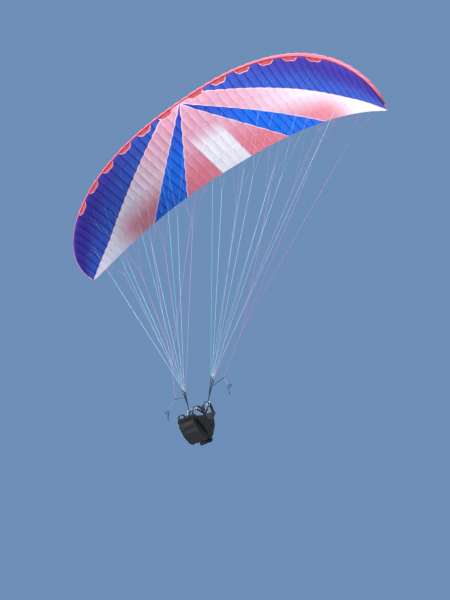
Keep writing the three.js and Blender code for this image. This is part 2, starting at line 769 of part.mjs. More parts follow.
// Padded blocks. Each outline is [y, z] from the side. The cut rounds the block off: it is the outline
// seen from the front, [x, z, radius], or from above, [x, y, radius].
const protector = { halfWidth: 170, front: seat.front + 30, back: seat.back + 95, low: -620 };
const backCurve = { halfWidth: 170, halfTop: 160, depth: 41, topDepth: 30, lean: 20, round: 55 };
const airbag = { halfWidth: 160, halfTop: 140, top: 60, lowDepth: 165, midDepth: 190, midZ: -330, round: 60 };
const backFace = seat.back + seam;
const airbagFace = backFace + backCurve.depth + 0.2;
const padBlocks = [
  {
    name: "seat_pan",
    width: seat.width,
    bevel: 8,
    outline: [
      [seat.front, seat.bottom + 12],
      [seat.front + 20, seat.bottom],
      [seat.back, seat.bottom],
      [seat.back, seat.top],
      [seat.front + 20, seat.top],
      [seat.front, seat.top - 12],
    ],
    seenFrom: "above",
    cut: [
      [-seat.width / 2, seat.front, 40],
      [seat.width / 2, seat.front, 40],
      [seat.width / 2, seat.back, 2],
      [-seat.width / 2, seat.back, 2],
    ],
  },
  {
    name: "under_seat_protector",
    width: 2 * protector.halfWidth,
    bevel: 20,
    outline: [
      [protector.front, seat.bottom - seam],
      [protector.front + 30, -560],
      [40, protector.low],
      [220, protector.low + 10],
      [protector.back, -560],
      [protector.back, seat.bottom - seam],
    ],
    seenFrom: "above",
    cut: [
      [-protector.halfWidth, protector.front, 70],
      [protector.halfWidth, protector.front, 70],
      [protector.halfWidth, protector.back, 45],
      [-protector.halfWidth, protector.back, 45],
    ],
  },
  {
    name: "back_panel",
    width: 2 * backCurve.halfWidth,
    bevel: 8,
    outline: [
      [backFace, seat.bottom + seam],
      [backFace + backCurve.depth, seat.bottom + seam],
      [backFace + backCurve.depth + backCurve.lean, backHeight],
      [backFace + backCurve.topDepth, backHeight],
    ],
    seenFrom: "front",
    cut: [
      [-backCurve.halfWidth, seat.bottom, 10],
      [backCurve.halfWidth, seat.bottom, 10],
      [backCurve.halfTop, backHeight, backCurve.round],
      [-backCurve.halfTop, backHeight, backCurve.round],
    ],
  },
  {
    name: "back_protector",
    width: 2 * airbag.halfWidth,
    bevel: 20,
    outline: [
      [airbagFace, seat.bottom + seam],
      [seat.back + airbag.lowDepth, seat.bottom + seam],
      [seat.back + airbag.midDepth, airbag.midZ],
      [seat.back + 160, -80],
      [seat.back + 90, airbag.top],
      [airbagFace + 16.1, airbag.top],
    ],
    seenFrom: "front",
    cut: [
      [-airbag.halfWidth, seat.bottom, 35],
      [airbag.halfWidth, seat.bottom, 35],
      [airbag.halfTop, airbag.top, airbag.round],
      [-airbag.halfTop, airbag.top, airbag.round],
    ],
  },
  {
    name: "reserve_container",
    width: 240,
    bevel: 8,
    outline: [
      [seat.back + 190.7, -331],
      [seat.back + 235, -350],
      [seat.back + 240, -450],
      [seat.back + 167.9, -450],
    ],
    seenFrom: "front",
    cut: [
      [-120, -450, 15],
      [120, -450, 15],
      [112, -331, 25],
      [-112, -331, 25],
    ],
  },
];
const handle = { y: 110, z: -300, length: 104, height: 34, bar: 10, corner: 12, thickness: 5 };

function padBlock({ width, bevel, outline, seenFrom, cut }) {
  const reach = 1000;
  const shape = new THREE.Shape(roundOutline(cut, 0, 4));
  const column = new THREE.ExtrudeGeometry(shape, { depth: 2 * reach, bevelEnabled: false });
  column.translate(0, 0, -reach);
  if (seenFrom === "front") column.rotateX(Math.PI / 2);
  return geometryOf(solidOf(sideExtrusion(outline, width, bevel)).intersect(solidOf(column)));
}

function harness() {
  const group = new THREE.Group();
  const dark = cloth(palette.darkCloth);
  const add = (name, geometry, material) => group.add(piece(name, geometry, material));
  padBlocks.forEach((block) => add(block.name, padBlock(block), dark));
  const sides = [
    ["left", 1],
    ["right", -1],
  ];
  for (const [word, side] of sides) {
    const panel = sideExtrusion(
      [
        [seat.front + 40, seat.bottom + 2],
        [seat.back - 1, seat.bottom + 2],
        [seat.back - 1, -150],
        [120, -190],
        [10, -230],
      ],
      sideWall,
    );
    add(`side_panel_${word}`, panel.translate(side * sideX, 0, 0), dark);
    const webbingLoop = joined([
      eye([0, 0], web.eye, webbing, 25),
      sideExtrusion(bandOutline([0, -web.eye - webbing / 2], [0, -70], 2 * webbing), 25),
      strap(
        [
          [0, 0, -62],
          [side * (web.low - web.x), 10, -230],
          [side * (web.low - web.x), 25, seat.bottom + 4],
        ],
        [0, 1, 0],
        web.width,
        webbing,
      ),
    ]);
    add(`main_webbing_${word}`, webbingLoop.translate(side * web.x, 0, 0), cloth(palette.black));
    const shoulder = strap(
      [
        [side * 95, seat.back + 52, backHeight + 7.8],
        [side * 96, seat.back + 20, backHeight + 14],
        [side * 98, seat.back - 20, backHeight + 38],
        [side * 104, 110, backHeight + 55],
        [side * 112, 30, backHeight + 25],
        [side * 122, -30, 120],
        [side * 140, -48, 20],
        [side * 158, -46, -60],
        [side * 185.3, -12, -135],
      ],
      [1, 0, side * 0.15],
      50,
      8,
    );
    add(`shoulder_strap_${word}`, shoulder, cloth(palette.black));
    const legRootY = seat.front - webbing / 2 - seam;
    const leg = strap(
      [
        [side * 150, legRootY, seat.bottom + 18],
        [side * 151, legRootY, seat.bottom + 36],
        [side * 153, seat.front - 14, seat.top + 40],
        [side * 155, seat.front - 8, seat.top + 110],
        [side * 160, -130, -230],
        [side * 180.4, -6, -190],
      ],
      [1, 0, 0],
      40,
      webbing,
    );
    add(`leg_strap_${word}`, leg, cloth(palette.black));
  }
  const chestBand = strap(
    [
      [-chest.half, chest.back, chest.z],
      [-60, chest.front, chest.z],
      [60, chest.front, chest.z],
      [chest.half, chest.back, chest.z],
    ],
    [0, 0, 1],
    chest.width,
    webbing,
  );
  add("chest_strap", chestBand, cloth(palette.black));
  const buckleY = chest.front - webbing / 2 - seam - buckleSize.depth / 2;
  const buckle = new THREE.BoxGeometry(buckleSize.width, buckleSize.depth, buckleSize.height);
  add("chest_buckle", buckle.translate(0, buckleY, chest.z), metal(palette.steel));
  const grip = [
    [-handle.length / 2, -handle.height / 2, handle.corner],
    [handle.length / 2, -handle.height / 2, handle.corner],
    [handle.length / 2, handle.height / 2, handle.corner],
    [-handle.length / 2, handle.height / 2, handle.corner],
  ];
  const loop = ring(roundOutline(grip), roundOutline(grip, handle.bar), handle.thickness, 1);
  loop.rotateZ(Math.PI / 2);
  const handleX = -sideX - sideWall / 2 - seam - handle.thickness / 2;
  add("reserve_handle", loop.translate(handleX, handle.y, handle.z), cloth(palette.coral));
  return group;
}

const harnessTilt = -0.436;

const paraglider = new THREE.Group();
paraglider.add(piece("upper_skin", skin((c) => trimmed(topPlaces, true, false, c)), cloth(palette.pink)));
paraglider.add(piece("nose_band", noseBand(), cloth(palette.coral)));
paraglider.add(lowerPanels());
paraglider.add(piece("ribs", ribFrame(), cloth(palette.white)));

const rowColours = { a: palette.aqua, b: palette.lineWhite, c: palette.linePink };
for (const [word, side] of [
  ["left", 1],
  ["right", -1],
]) {
  for (const row of ["a", "b", "c"]) {
    paraglider.add(piece(`lines_${row}_${word}`, lineTree(row, side), cloth(rowColours[row])));
    const shackle = piece(`link_${row}_${word}`, linkRing(), metal(palette.steel));
    shackle.position.copy(linkTop(row, side));
    shackle.position.z -= seam;
    paraglider.add(shackle);
  }
  paraglider.add(piece(`brake_fan_${word}`, brakeFan(side), cloth(palette.brakePink)));
  paraglider.add(piece(`riser_${word}`, riserStraps(side), cloth(palette.black)));
  const clip = piece(`carabiner_${word}`, carabinerRing(), metal(palette.steel));
  clip.position.set(side * carabinerX, pivotY, carabinerTopZ);
  paraglider.add(clip);
  paraglider.add(piece(`brake_pulley_${word}`, pulleyOnStrap(side), plastic(palette.black)));
  paraglider.add(piece(`toggle_${word}`, toggleHandle(side), cloth(palette.black)));
  paraglider.add(piece(`toggle_line_${word}`, toggleLine(side), cloth(palette.brakePink)));
}

const seatHarness = harness();
seatHarness.position.set(0, pivotY, pivotZ);
seatHarness.rotation.x = harnessTilt;
paraglider.add(seatHarness);

export default paraglider;
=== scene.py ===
# A paraglider in flight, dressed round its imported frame.
# Metres, +Z up, the nose points to -Y, the origin is where the air carries the canopy.
import bpy
import numpy as np
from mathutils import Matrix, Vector


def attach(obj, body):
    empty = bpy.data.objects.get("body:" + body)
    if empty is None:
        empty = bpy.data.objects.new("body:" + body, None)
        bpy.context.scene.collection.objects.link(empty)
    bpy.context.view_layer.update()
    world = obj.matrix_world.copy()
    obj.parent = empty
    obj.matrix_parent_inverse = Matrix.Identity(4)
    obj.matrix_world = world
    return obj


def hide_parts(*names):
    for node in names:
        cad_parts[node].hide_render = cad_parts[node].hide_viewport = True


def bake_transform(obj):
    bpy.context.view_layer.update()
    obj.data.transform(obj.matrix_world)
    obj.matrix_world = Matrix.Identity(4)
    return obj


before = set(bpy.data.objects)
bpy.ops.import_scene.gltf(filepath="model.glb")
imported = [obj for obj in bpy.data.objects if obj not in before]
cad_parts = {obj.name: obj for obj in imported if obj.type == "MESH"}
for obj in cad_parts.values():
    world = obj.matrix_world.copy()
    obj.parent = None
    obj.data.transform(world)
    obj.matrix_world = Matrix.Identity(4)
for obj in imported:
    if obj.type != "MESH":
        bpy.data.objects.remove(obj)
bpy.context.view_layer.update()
sides = {"left": 1, "right": -1}
print("frame loaded:", len(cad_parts), "nodes")


# Vectors and grids

def unit(v):
    # each vector divided by its own length
    return v / np.maximum(np.linalg.norm(v, axis=-1, keepdims=True), 1e-12)


def smoothStep(x, low, high):
    # 0 below low, 1 above high, a cubic with level ends between them
    t = np.clip((x - low) / (high - low), 0, 1)
    return t * t * (3 - 2 * t)


def gridFaces(rows, cols, wrapRows=False, wrapCols=False):
    # quads between neighbours of a grid; a wrapped side also joins its last line to its first
    i, j = np.meshgrid(np.arange(rows - (not wrapRows)), np.arange(cols - (not wrapCols)), indexing="ij")
    down, right = (i + 1) % rows, (j + 1) % cols
    quads = np.stack([i * cols + j, down * cols + j, down * cols + right, i * cols + right], -1)
    return quads.reshape(-1, 4)


def gridPart(points, wrapRows=False, wrapCols=False, uv=None, flip=False):
    # a grid of points as one part of a piece; flip turns its faces over
    rows, cols = points.shape[:2]
    faces = gridFaces(rows, cols, wrapRows, wrapCols)
    if flip:
        faces = faces[:, ::-1]
    if uv is None:
        uv = np.zeros((rows, cols, 2))
    return {"points": points.reshape(-1, 3), "faces": [faces], "uv": uv.reshape(-1, 2)}


def joinParts(parts):
    # several parts as one, each part's faces counted on from the points before it
    points, faces, uv, count = [], [], [], 0
    for part in parts:
        points.append(part["points"])
        uv.append(part["uv"])
        faces += [f + count for f in part["faces"]]
        count += len(part["points"])
    return {"points": np.concatenate(points), "faces": faces, "uv": np.concatenate(uv)}


def movePart(part, turn=None, shift=(0, 0, 0)):
    # every point times the turn, plus the shift
    points = part["points"] if turn is None else part["points"] @ np.array(turn).T
    return {**part, "points": points + np.array(shift)}


def mirrorPart(part):
    # the same part on the other side of the plane x = 0, faces turned so that they still point out
    return {**part, "points": part["points"] * (-1, 1, 1), "faces": [f[:, ::-1] for f in part["faces"]]}


def onSide(part, word):
    # a part as it is modelled on the left, its mirror image on the right
    return part if sides[word] > 0 else mirrorPart(part)


def lengthAlong(path):
    # distance of each point from the first, measured along the path
    return np.concatenate([[0], np.cumsum(np.linalg.norm(np.diff(path, axis=0), axis=-1))])


def sweepPart(path, profile, across, closed=False, scale=None):
    # a profile carried along a path: its first coordinate runs along the across vector, squared up to the
    # path, and its second along the path's normal; scale sizes the profile at each point of the path
    path, profile = np.array(path, float), np.array(profile, float)
    ahead, back = np.roll(path, -1, 0), np.roll(path, 1, 0)
    if not closed:
        ahead[-1], back[0] = path[-1], path[0]
    along = unit(ahead - back)
    across = np.broadcast_to(np.array(across, float), path.shape)
    across = unit(across - (across * along).sum(-1, keepdims=True) * along)
    normal = np.cross(along, across)
    size = np.ones(len(path)) if scale is None else np.array(scale, float)
    if size.ndim == 1:
        size = np.stack([size, size], -1)
    flat = profile[None] * size[:, None]
    points = path[:, None] + flat[..., :1] * across[:, None] + flat[..., 1:] * normal[:, None]
    uv = np.stack(np.broadcast_arrays(lengthAlong(path)[:, None], lengthAlong(profile)[None]), -1)
    part = gridPart(points, wrapRows=closed, wrapCols=True, uv=uv, flip=True)
    if not closed:
        rows, cols = points.shape[:2]
        part["faces"] += [np.arange(cols)[None, ::-1], (rows - 1) * cols + np.arange(cols)[None]]
    return part


def circleProfile(radius, sides, squash=1.0):
    # points of an ellipse, its second axis squash times the first
    a = 2 * np.pi * np.arange(sides) / sides
    return np.stack([radius * np.cos(a), squash * radius * np.sin(a)], -1)


def bandProfile(width, thickness, steps=2):
    # a flat strap's section: a rectangle whose short ends are half round
    a = np.linspace(-np.pi / 2, np.pi / 2, steps + 2)
    end = np.stack([(width - thickness) / 2 + np.cos(a) * thickness / 2, np.sin(a) * thickness / 2], -1)
    return np.concatenate([end, -end])


def smoothPath(points, steps):
    # a curve through the points: on each span a cubic whose end slopes are half the step over two spans
    p = np.array(points, float)
    p = np.concatenate([[2 * p[0] - p[1]], p, [2 * p[-1] - p[-2]]])
    t = np.linspace(0, 1, steps, endpoint=False)[None, :, None]
    a, b, c, d = (p[k : len(p) - 3 + k, None] for k in range(4))
    curve = b + 0.5 * t * (c - a + t * (2 * a - 5 * b + 4 * c - d + t * (3 * (b - c) + d - a)))
    return np.concatenate([curve.reshape(-1, p.shape[1]), p[-2:-1]])


def roundCorners(corners, inset=0.0, steps=6, radius=None):
    # a closed outline whose corners are arcs, all of it moved in by the inset; corners are [x, z, radius],
    # or [x, z] with one radius for all
    c = np.array(corners, float)
    if radius is not None:
        c = np.column_stack([c, np.full(len(c), radius)])
    here, radius = c[:, :2], c[:, 2:]
    before, after = unit(np.roll(here, 1, 0) - here), unit(np.roll(here, -1, 0) - here)
    half = np.arccos(np.clip((before * after).sum(-1, keepdims=True), -1, 1)) / 2
    centre = here + unit(before + after) * radius / np.sin(half)
    start = here + before * radius / np.tan(half) - centre
    end = here + after * radius / np.tan(half) - centre
    turn = np.arctan2(start[:, 0] * end[:, 1] - start[:, 1] * end[:, 0], (start * end).sum(-1))
    a = turn[:, None] * np.linspace(0, 1, steps + 1)
    x = start[:, :1] * np.cos(a) - start[:, 1:] * np.sin(a)
    z = start[:, :1] * np.sin(a) + start[:, 1:] * np.cos(a)
    return (np.stack([x, z], -1) * (1 - inset / radius)[:, None] + centre[:, None]).reshape(-1, 2)


def rodsPart(starts, ends, radius, sides=6, stations=(0, 1), sizes=(1, 1)):
    # straight rods, all at once: rings of the given sizes at the given shares of each rod, ends closed
    starts, ends = np.array(starts, float).reshape(-1, 3), np.array(ends, float).reshape(-1, 3)
    along = unit(ends - starts)
    helper = np.where(np.abs(along[:, 2:]) > 0.9, (1.0, 0, 0), (0, 0, 1.0))
    across = unit(np.cross(along, helper))
    normal = np.cross(along, across)
    a = 2 * np.pi * np.arange(sides) / sides
    ring = np.cos(a)[:, None] * across[:, None] + np.sin(a)[:, None] * normal[:, None]
    at = starts[:, None] + np.array(stations)[None, :, None] * (ends - starts)[:, None]
    points = at[:, :, None] + radius * np.array(sizes)[None, :, None, None] * ring[:, None]
    count, rows = len(starts), len(stations)
    first = np.arange(count)[:, None, None] * rows * sides
    walls = (gridFaces(rows, sides, wrapCols=True)[None] + first).reshape(-1, 4)
    low = np.arange(sides)[None, ::-1] + first[:, 0]
    length = np.linalg.norm(ends - starts, axis=-1)[:, None, None] * np.array(stations)[None, :, None]
    uv = np.stack(np.broadcast_arrays(length, (radius * a)[None, None]), -1)
    faces = [walls[:, ::-1], low, np.arange(sides)[None] + (rows - 1) * sides + first[:, 0]]
    return {"points": points.reshape(-1, 3), "faces": faces, "uv": uv.reshape(-1, 2)}


def addMesh(name, part, material, layers=None):
    # the part's arrays put into a mesh, with its UV map and any extra value for each point
    points, faces = part["points"], part["faces"]
    loops = np.concatenate([f.ravel() for f in faces])
    totals = np.concatenate([np.full(len(f), f.shape[1]) for f in faces])
    mesh = bpy.data.meshes.new(name)
    mesh.vertices.add(len(points))
    mesh.loops.add(len(loops))
    mesh.polygons.add(len(totals))
    mesh.vertices.foreach_set("co", points.astype(np.float32).ravel())
    mesh.loops.foreach_set("vertex_index", loops.astype(np.int32))
    mesh.polygons.foreach_set("loop_start", (np.cumsum(totals) - totals).astype(np.int32))
    mesh.polygons.foreach_set("loop_total", totals.astype(np.int32))
    mesh.polygons.foreach_set("use_smooth", np.full(len(totals), True))
    mesh.update(calc_edges=True)
    mesh.validate()
    uvLayer = mesh.uv_layers.new(name="cloth")
    uvLayer.data.foreach_set("uv", part["uv"][loops].astype(np.float32).ravel())
    for key, values in (layers or {}).items():
        layer = mesh.attributes.new(key, "FLOAT", "POINT")
        layer.data.foreach_set("value", values.astype(np.float32).ravel())
    mesh.materials.append(material)
    piece = bpy.data.objects.new(name, mesh)
    bpy.context.scene.collection.objects.link(piece)
    return piece


def addPiece(name, part, material, body, replaced=(), layers=None):
    # a finished piece on its body, standing for the plain solids that it replaces
    piece = addMesh(name, part, material, layers)
    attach(piece, body)
    if replaced:
        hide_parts(*replaced)
    return piece


def addSided(word, name, part, finish, body, replaced=None):
    # a piece of one side, modelled on the left; its node has the same name ending
    nodes = [f"{replaced}_{word}"] if replaced else ()
    return addPiece(f"{name}_{word}", onSide(part, word), finishes[finish], body, nodes)


# Shader nodes

def addNode(tree, kind, **settings):
    # a node with the given settings
    made = tree.nodes.new(kind)
    for key, value in settings.items():
        setattr(made, key, value)
    return made


def feed(tree, socket, value):
    # a socket takes another node's output or a plain value
    if isinstance(value, bpy.types.NodeSocket):
        tree.links.new(value, socket)
    else:
        socket.default_value = value


def calc(tree, operation, a, b=0.0, clamp=False):
    # one step of arithmetic on sockets or plain values
    made = addNode(tree, "ShaderNodeMath", operation=operation, use_clamp=clamp)
    feed(tree, made.inputs[0], a)
    feed(tree, made.inputs[1], b)
    return made.outputs[0]


def mixColour(tree, factor, a, b, mode="MIX"):
    # colour a where the factor is 0 and b where it is 1; each may be a socket or a plain value
    made = addNode(tree, "ShaderNodeMix", data_type="RGBA", blend_type=mode)
    for socket, value in zip((made.inputs[0], made.inputs[6], made.inputs[7]), (factor, a, b)):
        feed(tree, socket, value if isinstance(value, (bpy.types.NodeSocket, float, int)) else (*value, 1))
    return made.outputs[2]


def tint(tree, colour, mask, share, tone, mode="MIX"):
    # the colour moved towards the tone, or multiplied by it, as far as a share of the mask says
    return mixColour(tree, calc(tree, "MULTIPLY", mask, share), colour, tone, mode)


def readLayer(tree, name):
    return addNode(tree, "ShaderNodeAttribute", attribute_name=name).outputs["Fac"]


def readUv(tree):
    return addNode(tree, "ShaderNodeUVMap", uv_map="cloth").outputs[0]


def readObject(tree):
    return addNode(tree, "ShaderNodeTexCoord").outputs["Object"]


def noise(tree, place, scale, detail=3.0, distortion=0.0):
    # a soft noise from 0 to 1
    made = addNode(tree, "ShaderNodeTexNoise")
    for key, value in (("Vector", place), ("Scale", scale), ("Detail", detail), ("Distortion", distortion)):
        feed(tree, made.inputs[key], value)
    return made.outputs["Fac"]


def remap(tree, value, low, high, newLow=0.0, newHigh=1.0):
    # a smooth step from newLow, at low, to newHigh, at high
    made = addNode(tree, "ShaderNodeMapRange", interpolation_type="SMOOTHSTEP")
    for k, v in enumerate((value, low, high, newLow, newHigh)):
        feed(tree, made.inputs[k], v)
    return made.outputs[0]


def splitPlace(tree, place):
    made = addNode(tree, "ShaderNodeSeparateXYZ")
    tree.links.new(place, made.inputs[0])
    return made.outputs


def joinPlace(tree, *values):
    # one place from its values along x, y and z
    made = addNode(tree, "ShaderNodeCombineXYZ")
    for socket, value in zip(made.inputs, values):
        feed(tree, socket, value)
    return made.outputs[0]


def newGroup(name, inputs, outputs):
    # an empty group, the sockets that its inputs give inside it and those that its outputs take; inputs are
    # (name, kind, value)
    tree = bpy.data.node_groups.new(name, "ShaderNodeTree")
    for label, kind, value in inputs:
        socket = tree.interface.new_socket(name=label, in_out="INPUT", socket_type="NodeSocket" + kind)
        if value is not None:
            socket.default_value = value
    for label, kind in outputs:
        tree.interface.new_socket(name=label, in_out="OUTPUT", socket_type="NodeSocket" + kind)
    return tree, tree.nodes.new("NodeGroupInput").outputs, tree.nodes.new("NodeGroupOutput").inputs


def useGroup(tree, group, **values):
    # a shader group placed in a tree, with its own values or sockets
    made = addNode(tree, "ShaderNodeGroup", node_tree=group)
    for key, value in values.items():
        feed(tree, made.inputs[key], value)
    return made.outputs


def ripstopGroup():
    # a square grid of thick threads, each a sixth of a cell wide, over a fine plain weave, from metres along
    # and across the cloth
    tree, start, end = newGroup(
        "ripstopWeave",
        [("Place", "Vector", None), ("Grid", "Float", 0.006), ("Thread", "Float", 0.0009)],
        [("Height", "Float"), ("Thick", "Float")],
    )
    x, y, _ = splitPlace(tree, start["Place"])
    lines = []
    for way in (x, y):
        cell = calc(tree, "FRACT", calc(tree, "DIVIDE", way, start["Grid"]))
        far = calc(tree, "ABSOLUTE", calc(tree, "SUBTRACT", cell, 0.5))
        lines.append(calc(tree, "GREATER_THAN", far, 0.42))
    thick = calc(tree, "MAXIMUM", *lines)
    waves = []
    for way in (x, y):
        turn = calc(tree, "MULTIPLY", calc(tree, "DIVIDE", way, start["Thread"]), 2 * np.pi)
        waves.append(calc(tree, "SINE", turn))
    weave = calc(tree, "MULTIPLY", *waves)
    tree.links.new(calc(tree, "ADD", thick, calc(tree, "MULTIPLY", weave, 0.35)), end["Height"])
    tree.links.new(thick, end["Thick"])
    return tree


def creaseGroup():
    # long soft folds with short puckers on them, from metres along and across the cloth
    tree, start, end = newGroup(
        "clothCreases",
        [("Place", "Vector", None), ("Scale", "Float", 3.0), ("Stretch", "Float", 4.0)],
        [("Height", "Float"), ("Shade", "Float")],
    )
    x, y, z = splitPlace(tree, start["Place"])
    place = joinPlace(tree, x, calc(tree, "DIVIDE", y, start["Stretch"]), z)
    foldsAndShade = noise(tree, place, start["Scale"], 2.0, 0.6)
    fine = calc(tree, "MULTIPLY", start["Scale"], 7.0)
    small = noise(tree, start["Place"], fine, 3.0, 1.2)
    tree.links.new(calc(tree, "ADD", foldsAndShade, calc(tree, "MULTIPLY", small, 0.3)), end["Height"])
    # Shade follows the long folds; the finishes paint shade or light with it
    tree.links.new(remap(tree, foldsAndShade, 0.3, 0.7), end["Shade"])
    return tree


def dustGroup():
    # where dirt has settled: two sizes of noise, kept where both are high
    tree, start, end = newGroup(
        "settledDust", [("Place", "Vector", None), ("Scale", "Float", 2.0)], [("Mask", "Float")]
    )
    large = noise(tree, start["Place"], start["Scale"], 4.0)
    small = noise(tree, start["Place"], calc(tree, "MULTIPLY", start["Scale"], 12.0), 4.0)
    both = calc(tree, "MULTIPLY", remap(tree, large, 0.45, 0.75), remap(tree, small, 0.35, 0.7))
    tree.links.new(both, end["Mask"])
    return tree


def rayGroup():
    # which panel a point is in, from its distances to the three rays, and the sewn strips beside them
    tree, start, end = newGroup(
        "rayPattern",
        [("RayOne", "Float", 0), ("RayTwo", "Float", 0), ("RayThree", "Float", 0), ("Strip", "Float", 0.02)],
        [("Stripe", "Float"), ("Middle", "Float"), ("Outer", "Float"), ("Strip", "Float")],
    )
    one, two, three = (start[k] for k in ("RayOne", "RayTwo", "RayThree"))
    pastOne, pastTwo, pastThree = (calc(tree, "GREATER_THAN", v, 0.0) for v in (one, two, three))
    tree.links.new(calc(tree, "SUBTRACT", pastOne, pastTwo, True), end["Stripe"])
    tree.links.new(calc(tree, "SUBTRACT", pastTwo, pastThree, True), end["Middle"])
    tree.links.new(pastThree, end["Outer"])
    near = []
    for value, way in ((one, -1.0), (two, 1.0), (three, -1.0)):
        inside = calc(tree, "GREATER_THAN", calc(tree, "MULTIPLY", value, way), 0.0)
        close = calc(tree, "LESS_THAN", calc(tree, "ABSOLUTE", value), start["Strip"])
        near.append(calc(tree, "MULTIPLY", inside, close))
    strips = calc(tree, "MAXIMUM", calc(tree, "MAXIMUM", near[0], near[1]), near[2])
    tree.links.new(strips, end["Strip"])
    return tree


# chord shares of the four rows of line tabs, and metres: mean width of a cell, half width of a tape, half
# width and half length of the patch under a tab
sewing = {
    "tabShares": (0.12, 0.33, 0.57, 0.8), "cellWidth": 0.23, "tape": 0.007, "patchAcross": 0.017,
    "patchAlong": 0.026,
}


def seamGroup():
    # the sewn lines on the ribs, the tapes along the rows of line tabs, the patches under the tabs and a
    # painted shade that grows towards each rib, from rib count, chord share and chord
    tree, start, end = newGroup(
        "seamLines",
        [("Cell", "Float", 0), ("Share", "Float", 0), ("Chord", "Float", 2), ("Width", "Float", 0.05)],
        [("Seam", "Float"), ("Patch", "Float"), ("RibShade", "Float"), ("Row", "Float")],
    )
    cell = calc(tree, "ADD", start["Cell"], 0.5)
    off = calc(tree, "ABSOLUTE", calc(tree, "SUBTRACT", calc(tree, "FRACT", cell), 0.5))
    seam = calc(tree, "LESS_THAN", off, start["Width"])
    tree.links.new(seam, end["Seam"])
    # painted shade: 1 on each rib, fading to nothing 0.22 of a cell away
    tree.links.new(remap(tree, off, 0.0, 0.22, 1.0, 0.0), end["RibShade"])
    across = calc(tree, "MULTIPLY", off, sewing["cellWidth"] / sewing["patchAcross"])
    patch, row = 0.0, 0.0
    for share in sewing["tabShares"]:
        gap = calc(tree, "SUBTRACT", start["Share"], share)
        gap = calc(tree, "MULTIPLY", gap, start["Chord"])
        along = calc(tree, "MULTIPLY", gap, 1 / sewing["patchAlong"])
        far = calc(tree, "ADD", calc(tree, "POWER", across, 2.0), calc(tree, "MULTIPLY", along, along))
        patch = calc(tree, "MAXIMUM", patch, calc(tree, "LESS_THAN", far, 1.0))
        atTape = calc(tree, "LESS_THAN", calc(tree, "ABSOLUTE", gap), sewing["tape"])
        row = calc(tree, "MAXIMUM", row, atTape)
    tree.links.new(patch, end["Patch"])
    tree.links.new(row, end["Row"])
    return tree


def webbingGroup():
    # a woven band: ribs across the strap that lean left and right in turn, from metres along and across
    tree, start, end = newGroup(
        "webbingWeave",
        [("Place", "Vector", None), ("Rib", "Float", 0.0016)],
        [("Height", "Float"), ("Shade", "Float")],
    )
    x, y, _ = splitPlace(tree, start["Place"])
    lean = calc(tree, "PINGPONG", y, 0.004)
    phase = calc(tree, "DIVIDE", calc(tree, "ADD", x, lean), start["Rib"])
    wave = calc(tree, "SINE", calc(tree, "MULTIPLY", phase, 2 * np.pi))
    wave = calc(tree, "MULTIPLY_ADD", wave, 0.5)
    wave.node.inputs[2].default_value = 0.5
    tree.links.new(wave, end["Height"])
    # Shade is high on the backs of the ribs, where the finish paints light
    tree.links.new(wave, end["Shade"])
    return tree


def braidGroup():
    # strands that cross round a cord, from metres along and round it
    tree, start, end = newGroup(
        "lineBraid",
        [("Place", "Vector", None), ("Strand", "Float", 0.0022)],
        [("Height", "Float"), ("Fleck", "Float")],
    )
    x, y, _ = splitPlace(tree, start["Place"])
    waves = []
    for way in ("ADD", "SUBTRACT"):
        phase = calc(tree, "DIVIDE", calc(tree, way, x, y), start["Strand"])
        waves.append(calc(tree, "ABSOLUTE", calc(tree, "SINE", calc(tree, "MULTIPLY", phase, np.pi))))
    tree.links.new(calc(tree, "MAXIMUM", *waves), end["Height"])
    fleck = noise(tree, start["Place"], 60.0, 1.0)
    tree.links.new(calc(tree, "GREATER_THAN", fleck, 0.62), end["Fleck"])
    return tree


def scratchGroup():
    # fine hairlines one way and scuffs between them, from place on the object
    tree, start, end = newGroup(
        "metalScratches",
        [("Place", "Vector", None), ("Scale", "Float", 200.0)],
        [("Lines", "Float"), ("Scuffs", "Float")],
    )
    x, y, z = splitPlace(tree, start["Place"])
    place = joinPlace(tree, x, y, calc(tree, "MULTIPLY", z, 0.06))
    tree.links.new(noise(tree, place, start["Scale"], 2.0), end["Lines"])
    scuff = noise(tree, start["Place"], calc(tree, "MULTIPLY", start["Scale"], 0.3), 5.0)
    tree.links.new(remap(tree, scuff, 0.5, 0.68), end["Scuffs"])
    return tree


ripstop, creases, dust, rays = ripstopGroup(), creaseGroup(), dustGroup(), rayGroup()
seams, webWeave, braid, scratches = seamGroup(), webbingGroup(), braidGroup(), scratchGroup()
print("shader groups ready")


def surface(name, colour, roughness, bump=0.3, depth=0.001, metallic=0.0, build=None, **fixed):
    # one finish: build(tree) gives colour, glow, roughness and bump height as sockets, or they stay plain
    material = bpy.data.materials.new(name)
    material.use_nodes = True
    tree = material.node_tree
    shader = tree.nodes["Principled BSDF"]
    shader.inputs["Base Color"].default_value = (*colour, 1)
    shader.inputs["Roughness"].default_value = roughness
    shader.inputs["Metallic"].default_value = metallic
    for key, value in fixed.items():
        shader.inputs[key].default_value = value
    made = build(tree) if build else {}
    for key, socket in (("colour", "Base Color"), ("glow", "Emission Color"), ("roughness", "Roughness")):
        if key in made:
            tree.links.new(made[key], shader.inputs[socket])
    if "height" in made:
        relief = addNode(tree, "ShaderNodeBump")
        relief.inputs["Strength"].default_value = bump
        relief.inputs["Distance"].default_value = depth
        tree.links.new(made["height"], relief.inputs["Height"])
        tree.links.new(relief.outputs[0], shader.inputs["Normal"])
    return material


# Colours, as linear light

def linear(*srgb):
    # from a screen's values to linear light
    c = np.array(srgb, float)
    return tuple(np.where(c <= 0.04045, c / 12.92, ((c + 0.055) / 1.055) ** 2.4))


